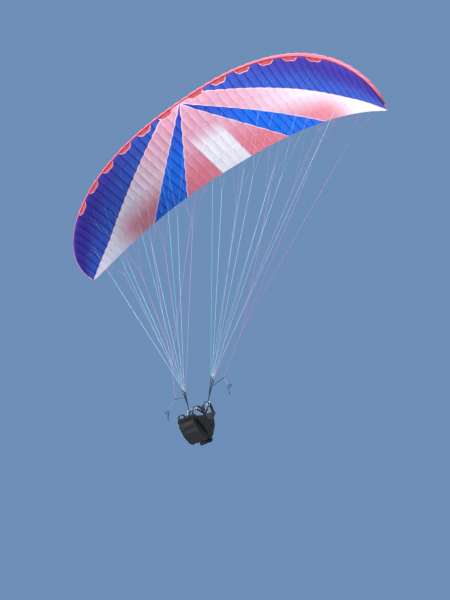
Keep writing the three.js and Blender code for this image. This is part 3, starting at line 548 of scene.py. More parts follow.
colours = {
    "coral": linear(0.94, 0.40, 0.47),
    "rose": linear(0.90, 0.48, 0.60),
    "salmon": linear(0.98, 0.62, 0.66),
    "darkRed": linear(0.44, 0.015, 0.12),
    "pink": linear(0.87, 0.63, 0.72),
    "white": linear(0.92, 0.91, 0.95),
    "red": linear(0.87, 0.47, 0.54),
    "deepBlue": linear(0.20, 0.34, 0.75),
    "purple": linear(0.22, 0.18, 0.60),
    "brightBlue": linear(0.05, 0.42, 0.90),
    "indigo": linear(0.20, 0.28, 0.74),
    "strip": linear(0.97, 0.84, 0.87),
    "aqua": linear(0.42, 0.90, 0.94),
    "paleLine": linear(0.80, 0.92, 0.95),
    "pinkLine": linear(0.88, 0.62, 0.84),
    "brakeLine": linear(0.86, 0.48, 0.84),
    "black": linear(0.06, 0.063, 0.08),
    "cloth": linear(0.07, 0.075, 0.10),
    "lining": linear(0.13, 0.135, 0.165),
    "thread": linear(0.30, 0.31, 0.35),
    "steel": linear(0.80, 0.81, 0.83),
    "handle": linear(0.85, 0.18, 0.20),
    "floor": linear(0.86, 0.86, 0.85),
    "sky": linear(0.43, 0.56, 0.72),
}
# tones that the painted shade at ribs, in creases and between strands, seams, dirt and wear mix in, as
# linear light
tones = {
    "ribShade": (0.42, 0.34, 0.5), "darkSeam": (0.02, 0.02, 0.12), "tape": (0.3, 0.3, 0.5),
    "patch": (0.25, 0.2, 0.35), "creaseShade": (0.72, 0.68, 0.76), "plainCreaseShade": (0.7, 0.66, 0.7),
    "dust": (0.6, 0.56, 0.5), "packDust": (0.2, 0.18, 0.15), "shadeBetweenStrands": (0.02, 0.02, 0.03),
    "none": (0.0, 0.0, 0.0),
}
# strip and seam are half widths; the pairs are the shares on a pale panel and on a blue one. The folds pair
# is the painted shade towards each rib, creases the painted shade in the creases, unlit the share of the
# colour that does not glow, and sunThrough the painted light that glows behind the intakes
canopyLook = {
    "strip": 0.022, "seam": 0.03, "seamShare": 0.4, "foldsAndShade": (0.07, 0.7), "patches": (0.35, 0.7),
    "tapes": 0.35, "creaseScale": 2.2, "creases": 0.2, "dustScale": 0.9, "dust": 0.1, "unlit": 0.95,
    "sunThrough": 0.32,
}


def shadeOf(colour, times):
    # a darker or lighter shade of a colour
    return tuple(times * c for c in colour)


def canopyCloth(name, lower):
    # the ray pattern in dyed cloth; fades are painted light, the colours of the other skin seen through it
    def build(tree):
        cell, share, chord = (readLayer(tree, k) for k in ("cell", "share", "chord"))
        place = readUv(tree)
        masks = useGroup(
            tree, rays, RayOne=readLayer(tree, "rayOne"), RayTwo=readLayer(tree, "rayTwo"),
            RayThree=readLayer(tree, "rayThree"), Strip=canopyLook["strip"],
        )
        fades = ("redFade", "whiteFade", "frontFade", "tipFade")
        red, white, front, tip = (readLayer(tree, k) for k in fades)
        pale = mixColour(tree, white, colours["pink"], colours["white"])
        base = mixColour(tree, red, pale, colours["red"])
        stripe = mixColour(tree, front, colours["brightBlue"], colours["indigo"])
        outerA = colours["deepBlue"] if lower else colours["coral"]
        outerB = colours["purple"] if lower else colours["red"]
        outer = mixColour(tree, tip if lower else front, outerA, outerB)
        colour = mixColour(tree, masks["Stripe"], base, stripe)
        colour = mixColour(tree, masks["Outer"], colour, outer)
        colour = mixColour(tree, masks["Strip"], colour, colours["strip"])
        if not lower:
            colour = mixColour(tree, remap(tree, share, 0.14, 0.24, 1.0, 0.0), colour, colours["coral"])
        sewn = useGroup(tree, seams, Cell=cell, Share=share, Chord=chord, Width=canopyLook["seam"])
        soft = useGroup(tree, creases, Place=place, Scale=canopyLook["creaseScale"], Stretch=0.35)
        weave = useGroup(tree, ripstop, Place=place)
        grime = useGroup(tree, dust, Place=place, Scale=canopyLook["dustScale"])
        # seams show dark on the blue panels and pale on the others
        blue = calc(tree, "MAXIMUM", masks["Stripe"], masks["Outer"])
        # painted shade towards each rib, where the cell bulges; far more of it on the blue panels
        foldsAndShade = remap(tree, blue, 0.0, 1.0, *canopyLook["foldsAndShade"])
        colour = tint(tree, colour, sewn["RibShade"], foldsAndShade, tones["ribShade"], "MULTIPLY")
        seamTone = mixColour(tree, blue, colours["strip"], tones["darkSeam"])
        colour = tint(tree, colour, sewn["Seam"], canopyLook["seamShare"], seamTone)
        if lower:
            tapes = calc(tree, "MULTIPLY", sewn["Row"], blue)
            colour = tint(tree, colour, tapes, canopyLook["tapes"], tones["tape"], "MULTIPLY")
            patches = remap(tree, blue, 0.0, 1.0, *canopyLook["patches"])
            colour = tint(tree, colour, sewn["Patch"], patches, tones["patch"], "MULTIPLY")
        # painted shade in the creases
        colour = tint(tree, colour, soft["Shade"], canopyLook["creases"], tones["creaseShade"], "MULTIPLY")
        colour = tint(tree, colour, grime["Mask"], canopyLook["dust"], tones["dust"], "MULTIPLY")
        height = calc(tree, "ADD", calc(tree, "MULTIPLY", soft["Height"], 12.0), weave["Height"])
        rough = remap(tree, weave["Thick"], 0.0, 1.0, 0.62, 0.5)
        # painted light: a twentieth of the colour glows, for the sun through the cloth
        glow = mixColour(tree, canopyLook["unlit"], colour, tones["none"])
        if not lower:
            # painted light: the sun through the cloth behind the intakes, a salmon glow inside near the
            # front
            inner = addNode(tree, "ShaderNodeNewGeometry").outputs["Backfacing"]
            atFront = remap(tree, share, 0.2, 0.4, canopyLook["sunThrough"], 0.0)
            glow = tint(tree, glow, inner, atFront, colours["salmon"])
        return {"colour": colour, "glow": glow, "roughness": rough, "height": height}

    return surface(name, colours["pink"], 0.6, build=build, bump=0.35, depth=0.0012, **{
        "Emission Strength": 1.0, "Sheen Weight": 0.05, "Specular IOR Level": 0.2,
    })


def plainCloth(name, colour, glow=0.0, grid=0.006, scale=6.0, atNose=False, inside=False):
    # one dyed cloth with its weave, soft creases with painted shade in them, settled dust and a painted
    # glow; at the nose it is rosy near the tips, with painted shade in dark red beside the ribs and along
    # the lower edge, and a pale rim behind each intake, and inside the wing it is salmon near the front,
    # painted light of the sun through the coral cloth above
    def build(tree):
        place = readUv(tree)
        weave = useGroup(tree, ripstop, Place=place, Grid=grid)
        soft = useGroup(tree, creases, Place=readObject(tree), Scale=scale, Stretch=2.0)
        grime = useGroup(tree, dust, Place=readObject(tree), Scale=3.0)
        # painted shade in the creases
        mixed = tint(tree, colour, soft["Shade"], 0.25, tones["plainCreaseShade"], "MULTIPLY")
        mixed = tint(tree, mixed, weave["Thick"], 0.10, tones["none"])
        if atNose:
            mixed = mixColour(tree, readLayer(tree, "outermost"), mixed, colours["rose"])
            sewn = useGroup(tree, seams, Cell=readLayer(tree, "cell"), Share=0.0, Chord=1.0, Width=0.03)
            # painted shade in dark red towards each rib
            mixed = tint(tree, mixed, sewn["RibShade"], 0.25, colours["darkRed"])
            # painted shade in dark red along the band's lower edge and the intakes' front lips
            mixed = mixColour(tree, readLayer(tree, "lip"), mixed, colours["darkRed"])
            rim = mixColour(tree, readLayer(tree, "outside"), colours["strip"], colours["salmon"])
            mixed = mixColour(tree, readLayer(tree, "rim"), mixed, rim)
        if inside:
            # painted light: salmon near the front of the ribs, the sun through the coral cloth above
            mixed = mixColour(tree, readLayer(tree, "front"), mixed, colours["salmon"])
        mixed = tint(tree, mixed, grime["Mask"], 0.12, tones["dust"], "MULTIPLY")
        height = calc(tree, "ADD", calc(tree, "MULTIPLY", soft["Height"], 6.0), weave["Height"])
        # painted light: the cloth glows in its own colour, as much as its glow says
        return {"colour": mixed, "glow": mixed, "height": height}

    return surface(name, colour, 0.62, build=build, bump=0.4, depth=0.0008, **{
        "Emission Strength": glow, "Sheen Weight": 0.08, "Specular IOR Level": 0.25,
    })


def packCloth(name, colour, grid):
    # heavy woven cloth with painted light on its long folds; its weave is read from place, slanted so that
    # no side of a piece lacks it
    def build(tree):
        x, y, z = splitPlace(tree, readObject(tree))
        slant = calc(tree, "MULTIPLY", y, 0.5)
        place = joinPlace(tree, calc(tree, "ADD", x, slant), calc(tree, "ADD", z, slant))
        weave = useGroup(tree, ripstop, Place=place, Grid=grid)
        soft = useGroup(tree, creases, Place=readObject(tree), Scale=9.0, Stretch=1.5)
        grime = useGroup(tree, dust, Place=readObject(tree), Scale=5.0)
        mixed = tint(tree, colour, weave["Thick"], 0.45, shadeOf(colour, 0.35))
        # painted light on the long folds
        mixed = tint(tree, mixed, soft["Shade"], 0.3, shadeOf(colour, 1.7))
        mixed = tint(tree, mixed, grime["Mask"], 0.06, tones["packDust"])
        height = calc(tree, "ADD", calc(tree, "MULTIPLY", soft["Height"], 4.0), weave["Height"])
        rough = remap(tree, soft["Shade"], 0.0, 1.0, 0.62, 0.74)
        return {"colour": mixed, "roughness": rough, "height": height}

    return surface(name, colour, 0.68, build=build, bump=0.5, depth=0.0007, **{
        "Sheen Weight": 0.04, "Specular IOR Level": 0.3,
    })


def cordFinish(name, colour, fleckColour):
    # a braided cord with flecks of a second colour, with painted shade between its strands, that gives off a
    # little light as a painted glow
    def build(tree):
        strands = useGroup(tree, braid, Place=readUv(tree))
        mixed = tint(tree, colour, strands["Fleck"], 0.5, fleckColour)
        # painted shade between the strands
        between = calc(tree, "SUBTRACT", 1.0, strands["Height"])
        mixed = tint(tree, mixed, between, 0.35, tones["shadeBetweenStrands"])
        return {"colour": mixed, "glow": mixed, "height": strands["Height"]}

    return surface(name, colour, 0.55, build=build, bump=0.5, depth=0.0003, **{"Emission Strength": 0.08})


def webbingFinish(name, colour):
    # a woven band with painted light on the backs of its ribs, and some dust
    def build(tree):
        weave = useGroup(tree, webWeave, Place=readUv(tree))
        grime = useGroup(tree, dust, Place=readObject(tree), Scale=8.0)
        # painted light on the backs of the ribs
        mixed = tint(tree, colour, weave["Shade"], 0.5, shadeOf(colour, 2.2))
        mixed = tint(tree, mixed, grime["Mask"], 0.08, tones["packDust"])
        return {"colour": mixed, "height": weave["Height"]}

    return surface(name, colour, 0.7, build=build, bump=0.5, depth=0.0004, **{
        "Sheen Weight": 0.04, "Specular IOR Level": 0.3,
    })


def metalFinish(name, colour, roughness):
    # a metal with hairlines that roughen it and scuffs that darken it
    def build(tree):
        marks = useGroup(tree, scratches, Place=readObject(tree), Scale=260.0)
        mixed = tint(tree, colour, marks["Scuffs"], 0.35, shadeOf(colour, 0.55))
        rough = remap(tree, marks["Lines"], 0.3, 0.7, roughness, roughness + 0.18)
        return {"colour": mixed, "roughness": rough, "height": marks["Lines"]}

    return surface(name, colour, roughness, build=build, bump=0.12, depth=0.0002, metallic=1.0)


def mouldedFinish(name, colour, roughness=0.5):
    # a moulded part with a fine grain and pale scuffs
    def build(tree):
        place = readObject(tree)
        grain = noise(tree, place, 900.0, 2.0)
        marks = useGroup(tree, scratches, Place=place, Scale=180.0)
        mixed = tint(tree, colour, marks["Scuffs"], 0.3, shadeOf(colour, 2.2))
        rough = remap(tree, marks["Lines"], 0.3, 0.7, roughness - 0.08, roughness + 0.1)
        return {"colour": mixed, "roughness": rough, "height": grain}

    return surface(name, colour, roughness, build=build, bump=0.2, depth=0.0002)


finishes = {
    "lower": canopyCloth("canopyLowerCloth", True),
    "upper": canopyCloth("canopyUpperCloth", False),
    # the glows of the nose band, ribs and hems are painted light, for the sun through the cloth
    "band": plainCloth("noseBandCloth", colours["coral"], glow=0.12, scale=2.0, atNose=True),
    "rib": plainCloth("ribCloth", colours["white"], glow=0.22, scale=3.0, inside=True),
    "hem": plainCloth("intakeHem", colours["darkRed"], glow=0.08, scale=20.0),
    "rearHem": plainCloth("intakeRearHem", colours["salmon"], glow=0.1, scale=20.0),
    "aqua": cordFinish("aquaLine", colours["aqua"], colours["paleLine"]),
    "pale": cordFinish("paleLine", colours["paleLine"], colours["aqua"]),
    "pinkLine": cordFinish("pinkLine", colours["pinkLine"], colours["paleLine"]),
    "brake": cordFinish("brakeLine", colours["brakeLine"], colours["pinkLine"]),
    "webbing": webbingFinish("blackWebbing", colours["black"]),
    "harness": packCloth("harnessCloth", colours["cloth"], 0.005),
    "lining": packCloth("meshLining", colours["lining"], 0.0032),
    "handle": webbingFinish("handleWebbing", colours["handle"]),
    "thread": cordFinish("stitchThread", colours["thread"], colours["paleLine"]),
    "polished": metalFinish("polishedSteel", colours["steel"], 0.16),
    "satin": metalFinish("satinAlloy", colours["steel"], 0.34),
    "brushed": metalFinish("brushedBuckle", colours["steel"], 0.3),
    "moulded": mouldedFinish("mouldedBlack", colours["black"]),
    "grip": mouldedFinish("softGrip", colours["black"], 0.65),
}
print("finishes ready:", len(finishes))


# The wing's sections, as in the frame

wing = {
    "halfSpan": 5.412, "rootChord": 2.577, "tipChordShare": 0.07, "planExponent": 2.377,
    "noseShare": 0.922, "noseSweep": -0.659, "tipSlope": 1.061, "arcExponent": 1.178,
    "liftPoint": 0.3, "thickness": 0.17, "topShare": 0.76, "trailingEdge": 0.008,
    "cells": 24, "cellTaper": 0.134, "topBulge": 0.11, "lowerBulge": 0.07, "arcSteps": 400,
}


def ribPlace(i):
    # place of rib i along the half span, 1 at the tip; middle cells are a little wider
    share = np.abs(i) / wing["cells"]
    return np.sign(i) * share * (1 + wing["cellTaper"] * (1 - share))


def sectionAt(s):
    # chord, middle and lean of the section at s, from -1 to 1; the arc is the sum of short steps whose
    # slope grows as a power of the place
    steps = wing["arcSteps"]
    middle = (np.arange(steps) + 0.5) / steps
    slopes = wing["tipSlope"] * middle ** wing["arcExponent"]
    step = wing["halfSpan"] / steps
    arcX = np.concatenate([[0], np.cumsum(np.cos(slopes))]) * step
    arcZ = -np.concatenate([[0], np.cumsum(np.sin(slopes))]) * step
    share, side = np.minimum(np.abs(s), 1), np.sign(s)
    slope = wing["tipSlope"] * share ** wing["arcExponent"]
    full = np.sqrt(np.maximum(0, 1 - share ** wing["planExponent"]))
    chord = wing["rootChord"] * ((1 - wing["tipChordShare"]) * full + wing["tipChordShare"])
    lost = wing["noseShare"] * (wing["rootChord"] - chord)
    return {
        "chord": chord,
        "x": side * np.interp(share * steps, np.arange(steps + 1), arcX),
        "z": np.interp(share * steps, np.arange(steps + 1), arcZ),
        "noseY": lost + wing["noseSweep"] * share**2 - wing["liftPoint"] * wing["rootChord"],
        "upX": side * np.sin(slope),
        "upZ": np.cos(slope),
    }


def profileAt(q, chord):
    # a wing section: the chord share is q squared, the half thickness is a root and a quartic of it, and the
    # top and bottom take their shares of the thickness
    t = np.minimum(q * q, 1)
    half = 0.2969 * np.abs(q) - 0.126 * t - 0.3516 * t**2 + 0.2843 * t**3 - 0.1036 * t**4
    share = np.where(q > 0, wing["topShare"], 1 - wing["topShare"])
    height = 10 * wing["thickness"] * share * half * chord + wing["trailingEdge"] * t / 2
    return t * chord, np.sign(q) * height


def sectionPoint(cut, y, h):
    # point of a section, y behind its nose and h above its chord
    place = (cut["x"] + cut["upX"] * h, cut["noseY"] + y, cut["z"] + cut["upZ"] * h)
    return np.stack(np.broadcast_arrays(*place), -1)


def skinPoint(s, q, lift=0.0):
    # point of the skin at span place s and profile parameter q, moved out along the section's normal
    cut = sectionAt(s)
    step = 1e-3
    y, h = profileAt(q, cut["chord"])
    yBack, hBack = profileAt(np.maximum(q - step, -1), cut["chord"])
    yAhead, hAhead = profileAt(np.minimum(q + step, 1), cut["chord"])
    length = np.hypot(yAhead - yBack, hAhead - hBack)
    y = y - lift * (hAhead - hBack) / length
    h = h + lift * (yAhead - yBack) / length
    return sectionPoint(cut, y, h)


def cellToSpan(cell):
    # span place of a rib count that may lie between two ribs
    low = np.floor(cell)
    return ribPlace(low) + (cell - low) * (ribPlace(low + 1) - ribPlace(low))


def cellLift(cell, q):
    # how far the cloth stands out: a parabola across each cell, most behind the nose, none at the trailing
    # edge, a little more on the top than below, and fading out in the last cell before each tip
    low = np.floor(cell)
    width = (ribPlace(low + 1) - ribPlace(low)) * wing["halfSpan"]
    mix = cell - low
    along = np.sqrt(np.maximum(0, 1 - q * q)) * (0.55 + 0.45 * np.minimum(1, np.abs(q) * 2))
    bulge = wing["lowerBulge"] + (wing["topBulge"] - wing["lowerBulge"]) * smoothStep(q, -0.2, 0.1)
    lift = bulge * width * 4 * mix * (1 - mix) * along
    fade = smoothStep(wing["cells"] - np.abs(cell), 0, 1.2)
    return lift * fade


rayShape = {
    "start": (0.0, -0.7731), "inner": 0.328, "outer": 0.553,
    "tip": ((0.595, -0.776), (3.8, 0.735), (4.56, 0.965), (6.0, 1.4)),
    "scallop": 0.02,
}


def rayDistances(points):
    # signed distance in plan from each ray, more than nothing outboard of it; the last ray is a chain of
    # lines and takes the one over the point
    x, y = np.abs(points[..., 0]), points[..., 1]
    start = np.array(rayShape["start"])
    found = {}
    for key, s in (("rayOne", rayShape["inner"]), ("rayTwo", rayShape["outer"])):
        cut = sectionAt(np.array(s))
        way = unit(np.array([cut["x"], cut["noseY"] + cut["chord"]]) - start)
        found[key] = (x - start[0]) * way[1] - (y - start[1]) * way[0]
    chain = np.array(rayShape["tip"])
    height = np.interp(x, chain[:, 0], chain[:, 1])
    lean = np.hypot(*(chain[1] - chain[0])) / (chain[1] - chain[0])[0]
    before = (x < chain[0, 0]) & (y > chain[0, 1])
    found["rayThree"] = np.where(before, -0.5, (height - y) / lean)
    return found


def canopyLayers(cell, s, share, points, lower):
    # what the cloth's finish reads, one value for each point: its place, its distances to the rays, with the
    # borders below scalloped from rib to rib, and the fades of painted light where the other skin shows
    # through
    far = np.abs(s)
    nearMiddle = np.abs(cell) < 2.0
    away = rayDistances(points)
    inCentre = away["rayOne"] < 0
    wave = rayShape["scallop"] * (0.6 - np.abs(np.sin(np.pi * cell))) * lower
    bandWhite = smoothStep(share, 0.32, 0.6) * nearMiddle
    bandRed = smoothStep(share, 0.38, 0.88) * ~nearMiddle
    sideWhite = smoothStep(far + 0.25 * (share - 0.5), 0.0, 0.75) ** 1.3
    sideRed = 0.9 * smoothStep(share, 0.47, 0.85) * (1 - smoothStep(far, 0.60, 0.80))
    layers = {
        "cell": cell, "share": share, "chord": sectionAt(s)["chord"],
        "redFade": np.where(inCentre, bandRed, sideRed),
        "whiteFade": np.where(inCentre, bandWhite, sideWhite),
        "frontFade": 1 - smoothStep(share, 0.05, 0.55),
        "tipFade": smoothStep(far - 1.3 * share, 0.05, 0.6),
        **{key: off + wave for key, off in away.items()},
    }
    return {k: np.broadcast_to(v, points.shape[:-1]) for k, v in layers.items()}


canopy = {
    "steps": 10, "rows": 78, "bandTop": 0.06, "bandRows": (16, 6, 5), "bandLength": 0.41, "noseSeam": -0.07,
    "tipSeam": 0.025, "lip": 0.006, "tabPull": 0.010, "pullReach": 0.06,
}
intake = {
    "ribs": (2, 5, 8, 11, 14, 17), "front": 0.0045, "shallow": 0.013, "deep": 0.038, "flatTo": 0.45,
    "reach": 0.9, "margin": 0.05, "hem": 0.004,
}


def spanColumns():
    # rib counts of the columns over the whole span, some in each cell
    return np.linspace(-wing["cells"], wing["cells"], 2 * wing["cells"] * canopy["steps"] + 1)


def intakeBack(cell):
    # chord share of an intake's rear lip, deep about its rib and shallow at its ends, and how far off it is
    ribs = np.array([side * r for side in (-1, 1) for r in intake["ribs"]])
    off = np.abs(cell[..., None] - ribs).min(-1)
    rise = smoothStep(off, intake["flatTo"], intake["reach"])
    return intake["deep"] + (intake["shallow"] - intake["deep"]) * rise, off


def bandEdge(cell):
    # profile place of the seam behind the nose band: just below the nose, over it at the tips, and round the
    # rear lip of each intake
    back, off = intakeBack(cell)
    rise = smoothStep(np.abs(cell), 14, 23)
    plain = canopy["noseSeam"] + (canopy["tipSeam"] - canopy["noseSeam"]) * rise
    return np.where(off < intake["reach"] + intake["margin"], -np.sqrt(back + canopy["lip"]), plain)


def skinPiece(name, lower, replaced):
    # one continuous sheet from the nose band to the trailing edge, pulled out a little at each line tab
    cells = spanColumns()
    first = (-bandEdge(cells) if lower else np.full(len(cells), np.sqrt(canopy["bandTop"])))[:, None]
    q = first + (1 - first) * np.linspace(0, 1, canopy["rows"])
    share = q * np.abs(q)
    q, share = (-q[:, ::-1], share[:, ::-1]) if lower else (q, share)
    cell = np.broadcast_to(cells[:, None], q.shape)
    s = cellToSpan(cell)
    lift = cellLift(cell, q)
    if lower:
        width = sewing["cellWidth"] * (cell - np.round(cell)) / canopy["pullReach"]
        chord = sectionAt(s)["chord"]
        pull = canopy["tabPull"] * (1 - smoothStep(np.abs(cell), 18, 20))
        for tab in sewing["tabShares"]:
            lift = lift + pull * np.exp(-(width**2) - ((share - tab) * chord / canopy["pullReach"]) ** 2)
    points = skinPoint(s, q, lift)
    uv = np.stack([s * wing["halfSpan"], share * sectionAt(s)["chord"]], -1)
    part = gridPart(points, uv=uv)
    piece = addPiece(name, part, finishes["lower" if lower else "upper"], "wing", replaced,
                     canopyLayers(cell, s, share, points, lower))


def nosePiece():
    # the nose band: rows over the top to the intakes' front lips, over the intakes, and on to the lower
    # skin; faces over an intake are left out
    cells = spanColumns()
    back, off = intakeBack(cells)
    top, mid, low = canopy["bandRows"]
    atIntake = off < intake["reach"] + intake["margin"]
    qTop, qEnd = np.sqrt(canopy["bandTop"]), bandEdge(cells)
    qFront = np.where(atIntake, -np.sqrt(intake["front"]), qTop + 0.8 * (qEnd - qTop))[:, None]
    qBack = np.where(atIntake, -np.sqrt(back), qTop + 0.9 * (qEnd - qTop))[:, None]
    qEnd = qEnd[:, None]
    upper = qTop + (qFront - qTop) * np.linspace(0, 1, top)[None]
    middle = qFront + (qBack - qFront) * np.linspace(0, 1, mid + 1)[None, 1:]
    lower = qBack + (qEnd - qBack) * np.linspace(0, 1, low + 1)[None, 1:]
    q = np.concatenate([upper, middle, lower], 1)
    cell = np.broadcast_to(cells[:, None], q.shape)
    s = cellToSpan(cell)
    points = skinPoint(s, q, cellLift(cell, q))
    uv = np.stack([s * wing["halfSpan"], q * np.abs(q) * sectionAt(s)["chord"]], -1)
    part = gridPart(points, uv=uv, flip=True)
    rows = q.shape[1]
    quads = part["faces"][0]
    column, row = quads[:, 3] // rows, quads[:, 3] % rows
    reach = intake["reach"] + 1e-6
    isOpen = (off[column] < reach) & (off[column + 1] < reach) & (row >= top - 1) & (row < top - 1 + mid)
    part["faces"] = [quads[~isOpen]]
    between = smoothStep(off, 0.85, 1.0)[:, None]
    rim = np.zeros_like(q)
    rim[:, -low:] = 1 - between
    lip = 1 - smoothStep(q - np.where(atIntake[:, None], qFront, qEnd), 0.025, 0.075)
    outside = smoothStep(np.abs(cell), 5.5, 10.5)
    outermost = smoothStep(np.abs(cell), 17, 23.5)
    piece = addPiece("noseBand", part, finishes["band"], "wing", ["nose_band"],
                     {"cell": cell, "lip": lip, "rim": rim, "outside": outside, "outermost": outermost})


def intakeHems():
    # rolled hems round each intake: one along its front lip and one that goes back round its rear lip
    fronts, rears = [], []
    reach, count = intake["reach"], 21
    for side in (-1, 1):
        for rib in intake["ribs"]:
            cells = side * rib + np.linspace(-reach, reach, count)
            ends = np.linspace(-np.sqrt(intake["front"]), -np.sqrt(intake["shallow"]), 4)[:-1]
            for hems, cell, q in (
                (fronts, cells, np.full(count, -np.sqrt(intake["front"]))),
                (rears, np.concatenate([np.full(3, cells[0]), cells, np.full(3, cells[-1])]),
                 np.concatenate([ends, -np.sqrt(intakeBack(cells)[0]), ends[::-1]])),
            ):
                path = skinPoint(cellToSpan(cell), q, cellLift(cell, q))
                hems.append(sweepPart(path, circleProfile(intake["hem"], 6), (0, 1, 0.3)))
    addPiece("intakeFrontHems", joinParts(fronts), finishes["hem"], "wing")
    addPiece("intakeRearHems", joinParts(rears), finishes["rearHem"], "wing")


ribShape = {"gap": 0.003, "rows": 30, "tapeShares": (0.2, 0.45), "tapeWidth": 0.04, "tapeHeight": 0.03}


def ribsPiece():
    # every rib as a sheet between the two skins, with two tapes that join them along the span; the outermost
    # ribs close the tips and are salmon throughout
    parts, fronts = [], []
    for i in range(-wing["cells"], wing["cells"] + 1):
        isTip = abs(i) == wing["cells"]
        ends, gap = ((0, 1), 0.0) if isTip else ((0.02, 0.985), ribShape["gap"])
        t = np.linspace(*ends, ribShape["rows"])[:, None] ** 1.5
        s = np.full_like(t, float(ribPlace(i)))
        top = skinPoint(s, np.sqrt(t), -gap)
        low = skinPoint(s, -np.sqrt(t), -gap)
        mix = np.linspace(0, 1, 5)[None, :, None]
        points = low * (1 - mix) + top * mix
        parts.append(gridPart(points, uv=np.stack([points[..., 1], points[..., 2]], -1)))
        # painted light: salmon near the front, the sun through the coral cloth above; each tip rib is salmon
        # all over
        rosy = np.ones_like(t) if isTip else 1 - smoothStep(t, 0.1, 0.2)
        fronts.append(np.broadcast_to(rosy, points.shape[:2]).ravel())
    cells = np.arange(-wing["cells"], wing["cells"] + 1)
    cut = sectionAt(ribPlace(cells))
    for share in ribShape["tapeShares"]:
        half = ribShape["tapeWidth"] / 2 * np.minimum(1, cut["chord"])
        h = ribShape["tapeHeight"] * cut["chord"]
        points = np.stack([sectionPoint(cut, share * cut["chord"] + way * half, h) for way in (-1, 1)], 1)
        parts.append(gridPart(points, uv=points[..., :2]))
    part = joinParts(parts)
    fronts.append(np.zeros(len(part["points"]) - sum(len(f) for f in fronts)))
    addPiece("canopyRibs", part, finishes["rib"], "wing", ["ribs"],
             {"front": np.concatenate(fronts)})


def panelNodes():
    # the solids that the lower skin stands for
    names = ["lower_centre_panel"]
    for word in sides:
        names += [f"lower_{kind}_{word}" for kind in ("stripe", "white_panel", "outer_panel")]
    return names


ribsPiece()
skinPiece("upperSkin", False, ["upper_skin"])
skinPiece("lowerSkin", True, panelNodes())
nosePiece()
intakeHems()
print("canopy ready")


# Suspension lines

lines = {
    "riserTop": (0.336, -0.278), "hang": 8.32, "rowPitch": 0.045, "collar": 0.0075,
    "rows": {"a": -1, "b": 0, "c": 1}, "tabRows": {"a": (0,), "b": (1,), "c": (2, 3)},
    "groups": ((2, 5), (8, 11), (14, 17)), "split": 0.62, "second": 0.72,
    "tipRib": 20, "tipRibs": (19, 20, 21, 22), "tipKnot": 0.9,
    "mainRadius": 0.0023, "mainPitch": 2.6, "branchRadius": 0.0009, "topRadius": 0.0004,
    "knotHalf": 0.035, "knotSize": 2.2, "tabDrop": 0.0165, "tabOverlap": 0.002, "tabRadius": 0.004,
}
rowLook = {"a": ("aqua", "aqua_line"), "b": ("pale", "white_line"), "c": ("pinkLine", "pink_line")}


def riserTop(row):
    # top of the riser that carries a row of lines, on the left
    x, y = lines["riserTop"]
    return np.array([x, y + lines["rows"][row] * lines["rowPitch"], -lines["hang"]])


def tabFoot(rib, share, drop):
    # point below the lower skin at a rib, drop metres out from the cloth
    return skinPoint(np.array(float(ribPlace(rib))), np.array(-np.sqrt(share)), drop)


def rodsBetween(pairs, radius, *ring):
    # a straight rod between the two points of each pair
    return rodsPart([a for a, _ in pairs], [b for _, b in pairs], radius, *ring)


def knotsPart(knots, half, radius):
    # a sewn loop swells a line where it meets the next one: a short spindle about each knot, along its line
    at = np.array([a for a, _ in knots])
    way = unit(np.array([b for _, b in knots]) - at)
    stations, sizes = (0, 0.08, 0.5, 0.92, 1), (0.5, 1, 1.15, 1, 0.5)
    return rodsPart(at - half * way, at + half * way, radius, 6, stations, sizes)


def lineTree(row):
    # mains from the link, each split in two, or in four in the rear row, and each of those spread over three
    # ribs; the middle row has one more line, which spreads out near the tip
    start = riserTop(row) + (0, 0, lines["collar"])
    shares = [sewing["tabShares"][k] for k in lines["tabRows"][row]]
    pitch = lines["mainPitch"] * lines["mainRadius"]
    mains, branches, tops, tabs, knots = [], [], [], [], []

    def spread(knot, ribs, share):
        # a thin line from the knot to each rib, and the tab that holds it
        for i in ribs:
            tops.append((knot, tabFoot(i, share, lines["tabDrop"])))
            tabs.append((tabFoot(i, share, 0.0), tabFoot(i, share, lines["tabDrop"] + lines["tabOverlap"])))

    for k, group in enumerate(lines["groups"]):
        feet = [(tabFoot(i, share, lines["tabDrop"]), i, share) for share in shares for i in group]
        split = start + lines["split"] * (np.mean([foot for foot, _, _ in feet], 0) - start)
        mains.append((start + ((k - 1) * pitch, 0, 0), split))
        for foot, i, share in feet:
            second = split + lines["second"] * (foot - split)
            branches.append((split, second))
            knots.append((second, foot))
            spread(second, (i - 1, i, i + 1), share)
        knots.append((split, start))
    if row == "b":
        foot = tabFoot(lines["tipRib"], shares[0], lines["tabDrop"])
        knot = start + lines["tipKnot"] * (foot - start)
        mains.append((start + (2 * pitch, 0, 0), knot))
        knots.append((knot, start))
        spread(knot, lines["tipRibs"], shares[0])
    return joinParts([
        rodsBetween(mains, lines["mainRadius"]),
        rodsBetween(branches, lines["branchRadius"]),
        rodsBetween(tops, lines["topRadius"]),
        knotsPart(knots, lines["knotHalf"], lines["knotSize"] * lines["branchRadius"]),
        rodsBetween(tabs, lines["tabRadius"], 4, (0, 1), (1, 0.35)),
    ])


brake = {
    "ribs": ((4, 8), (12, 15), (18, 21)), "low": 0.14, "high": 0.8, "second": 0.7,
    "pulley": (0.56, -0.248, -8.42), "toggle": (0.68, -0.288, -8.62), "aboveAxle": 0.015,
    "edge": 0.006, "gap": 0.0018, "radius": 0.0024, "thinShare": 0.7, "knotHalf": 0.04, "knotSize": 2,
}


def edgeFoot(rib):
    # point just under the trailing edge at a rib
    cut = sectionAt(np.array(float(ribPlace(rib))))
    return sectionPoint(cut, cut["chord"] - brake["edge"], -wing["trailingEdge"] / 2 - brake["gap"])


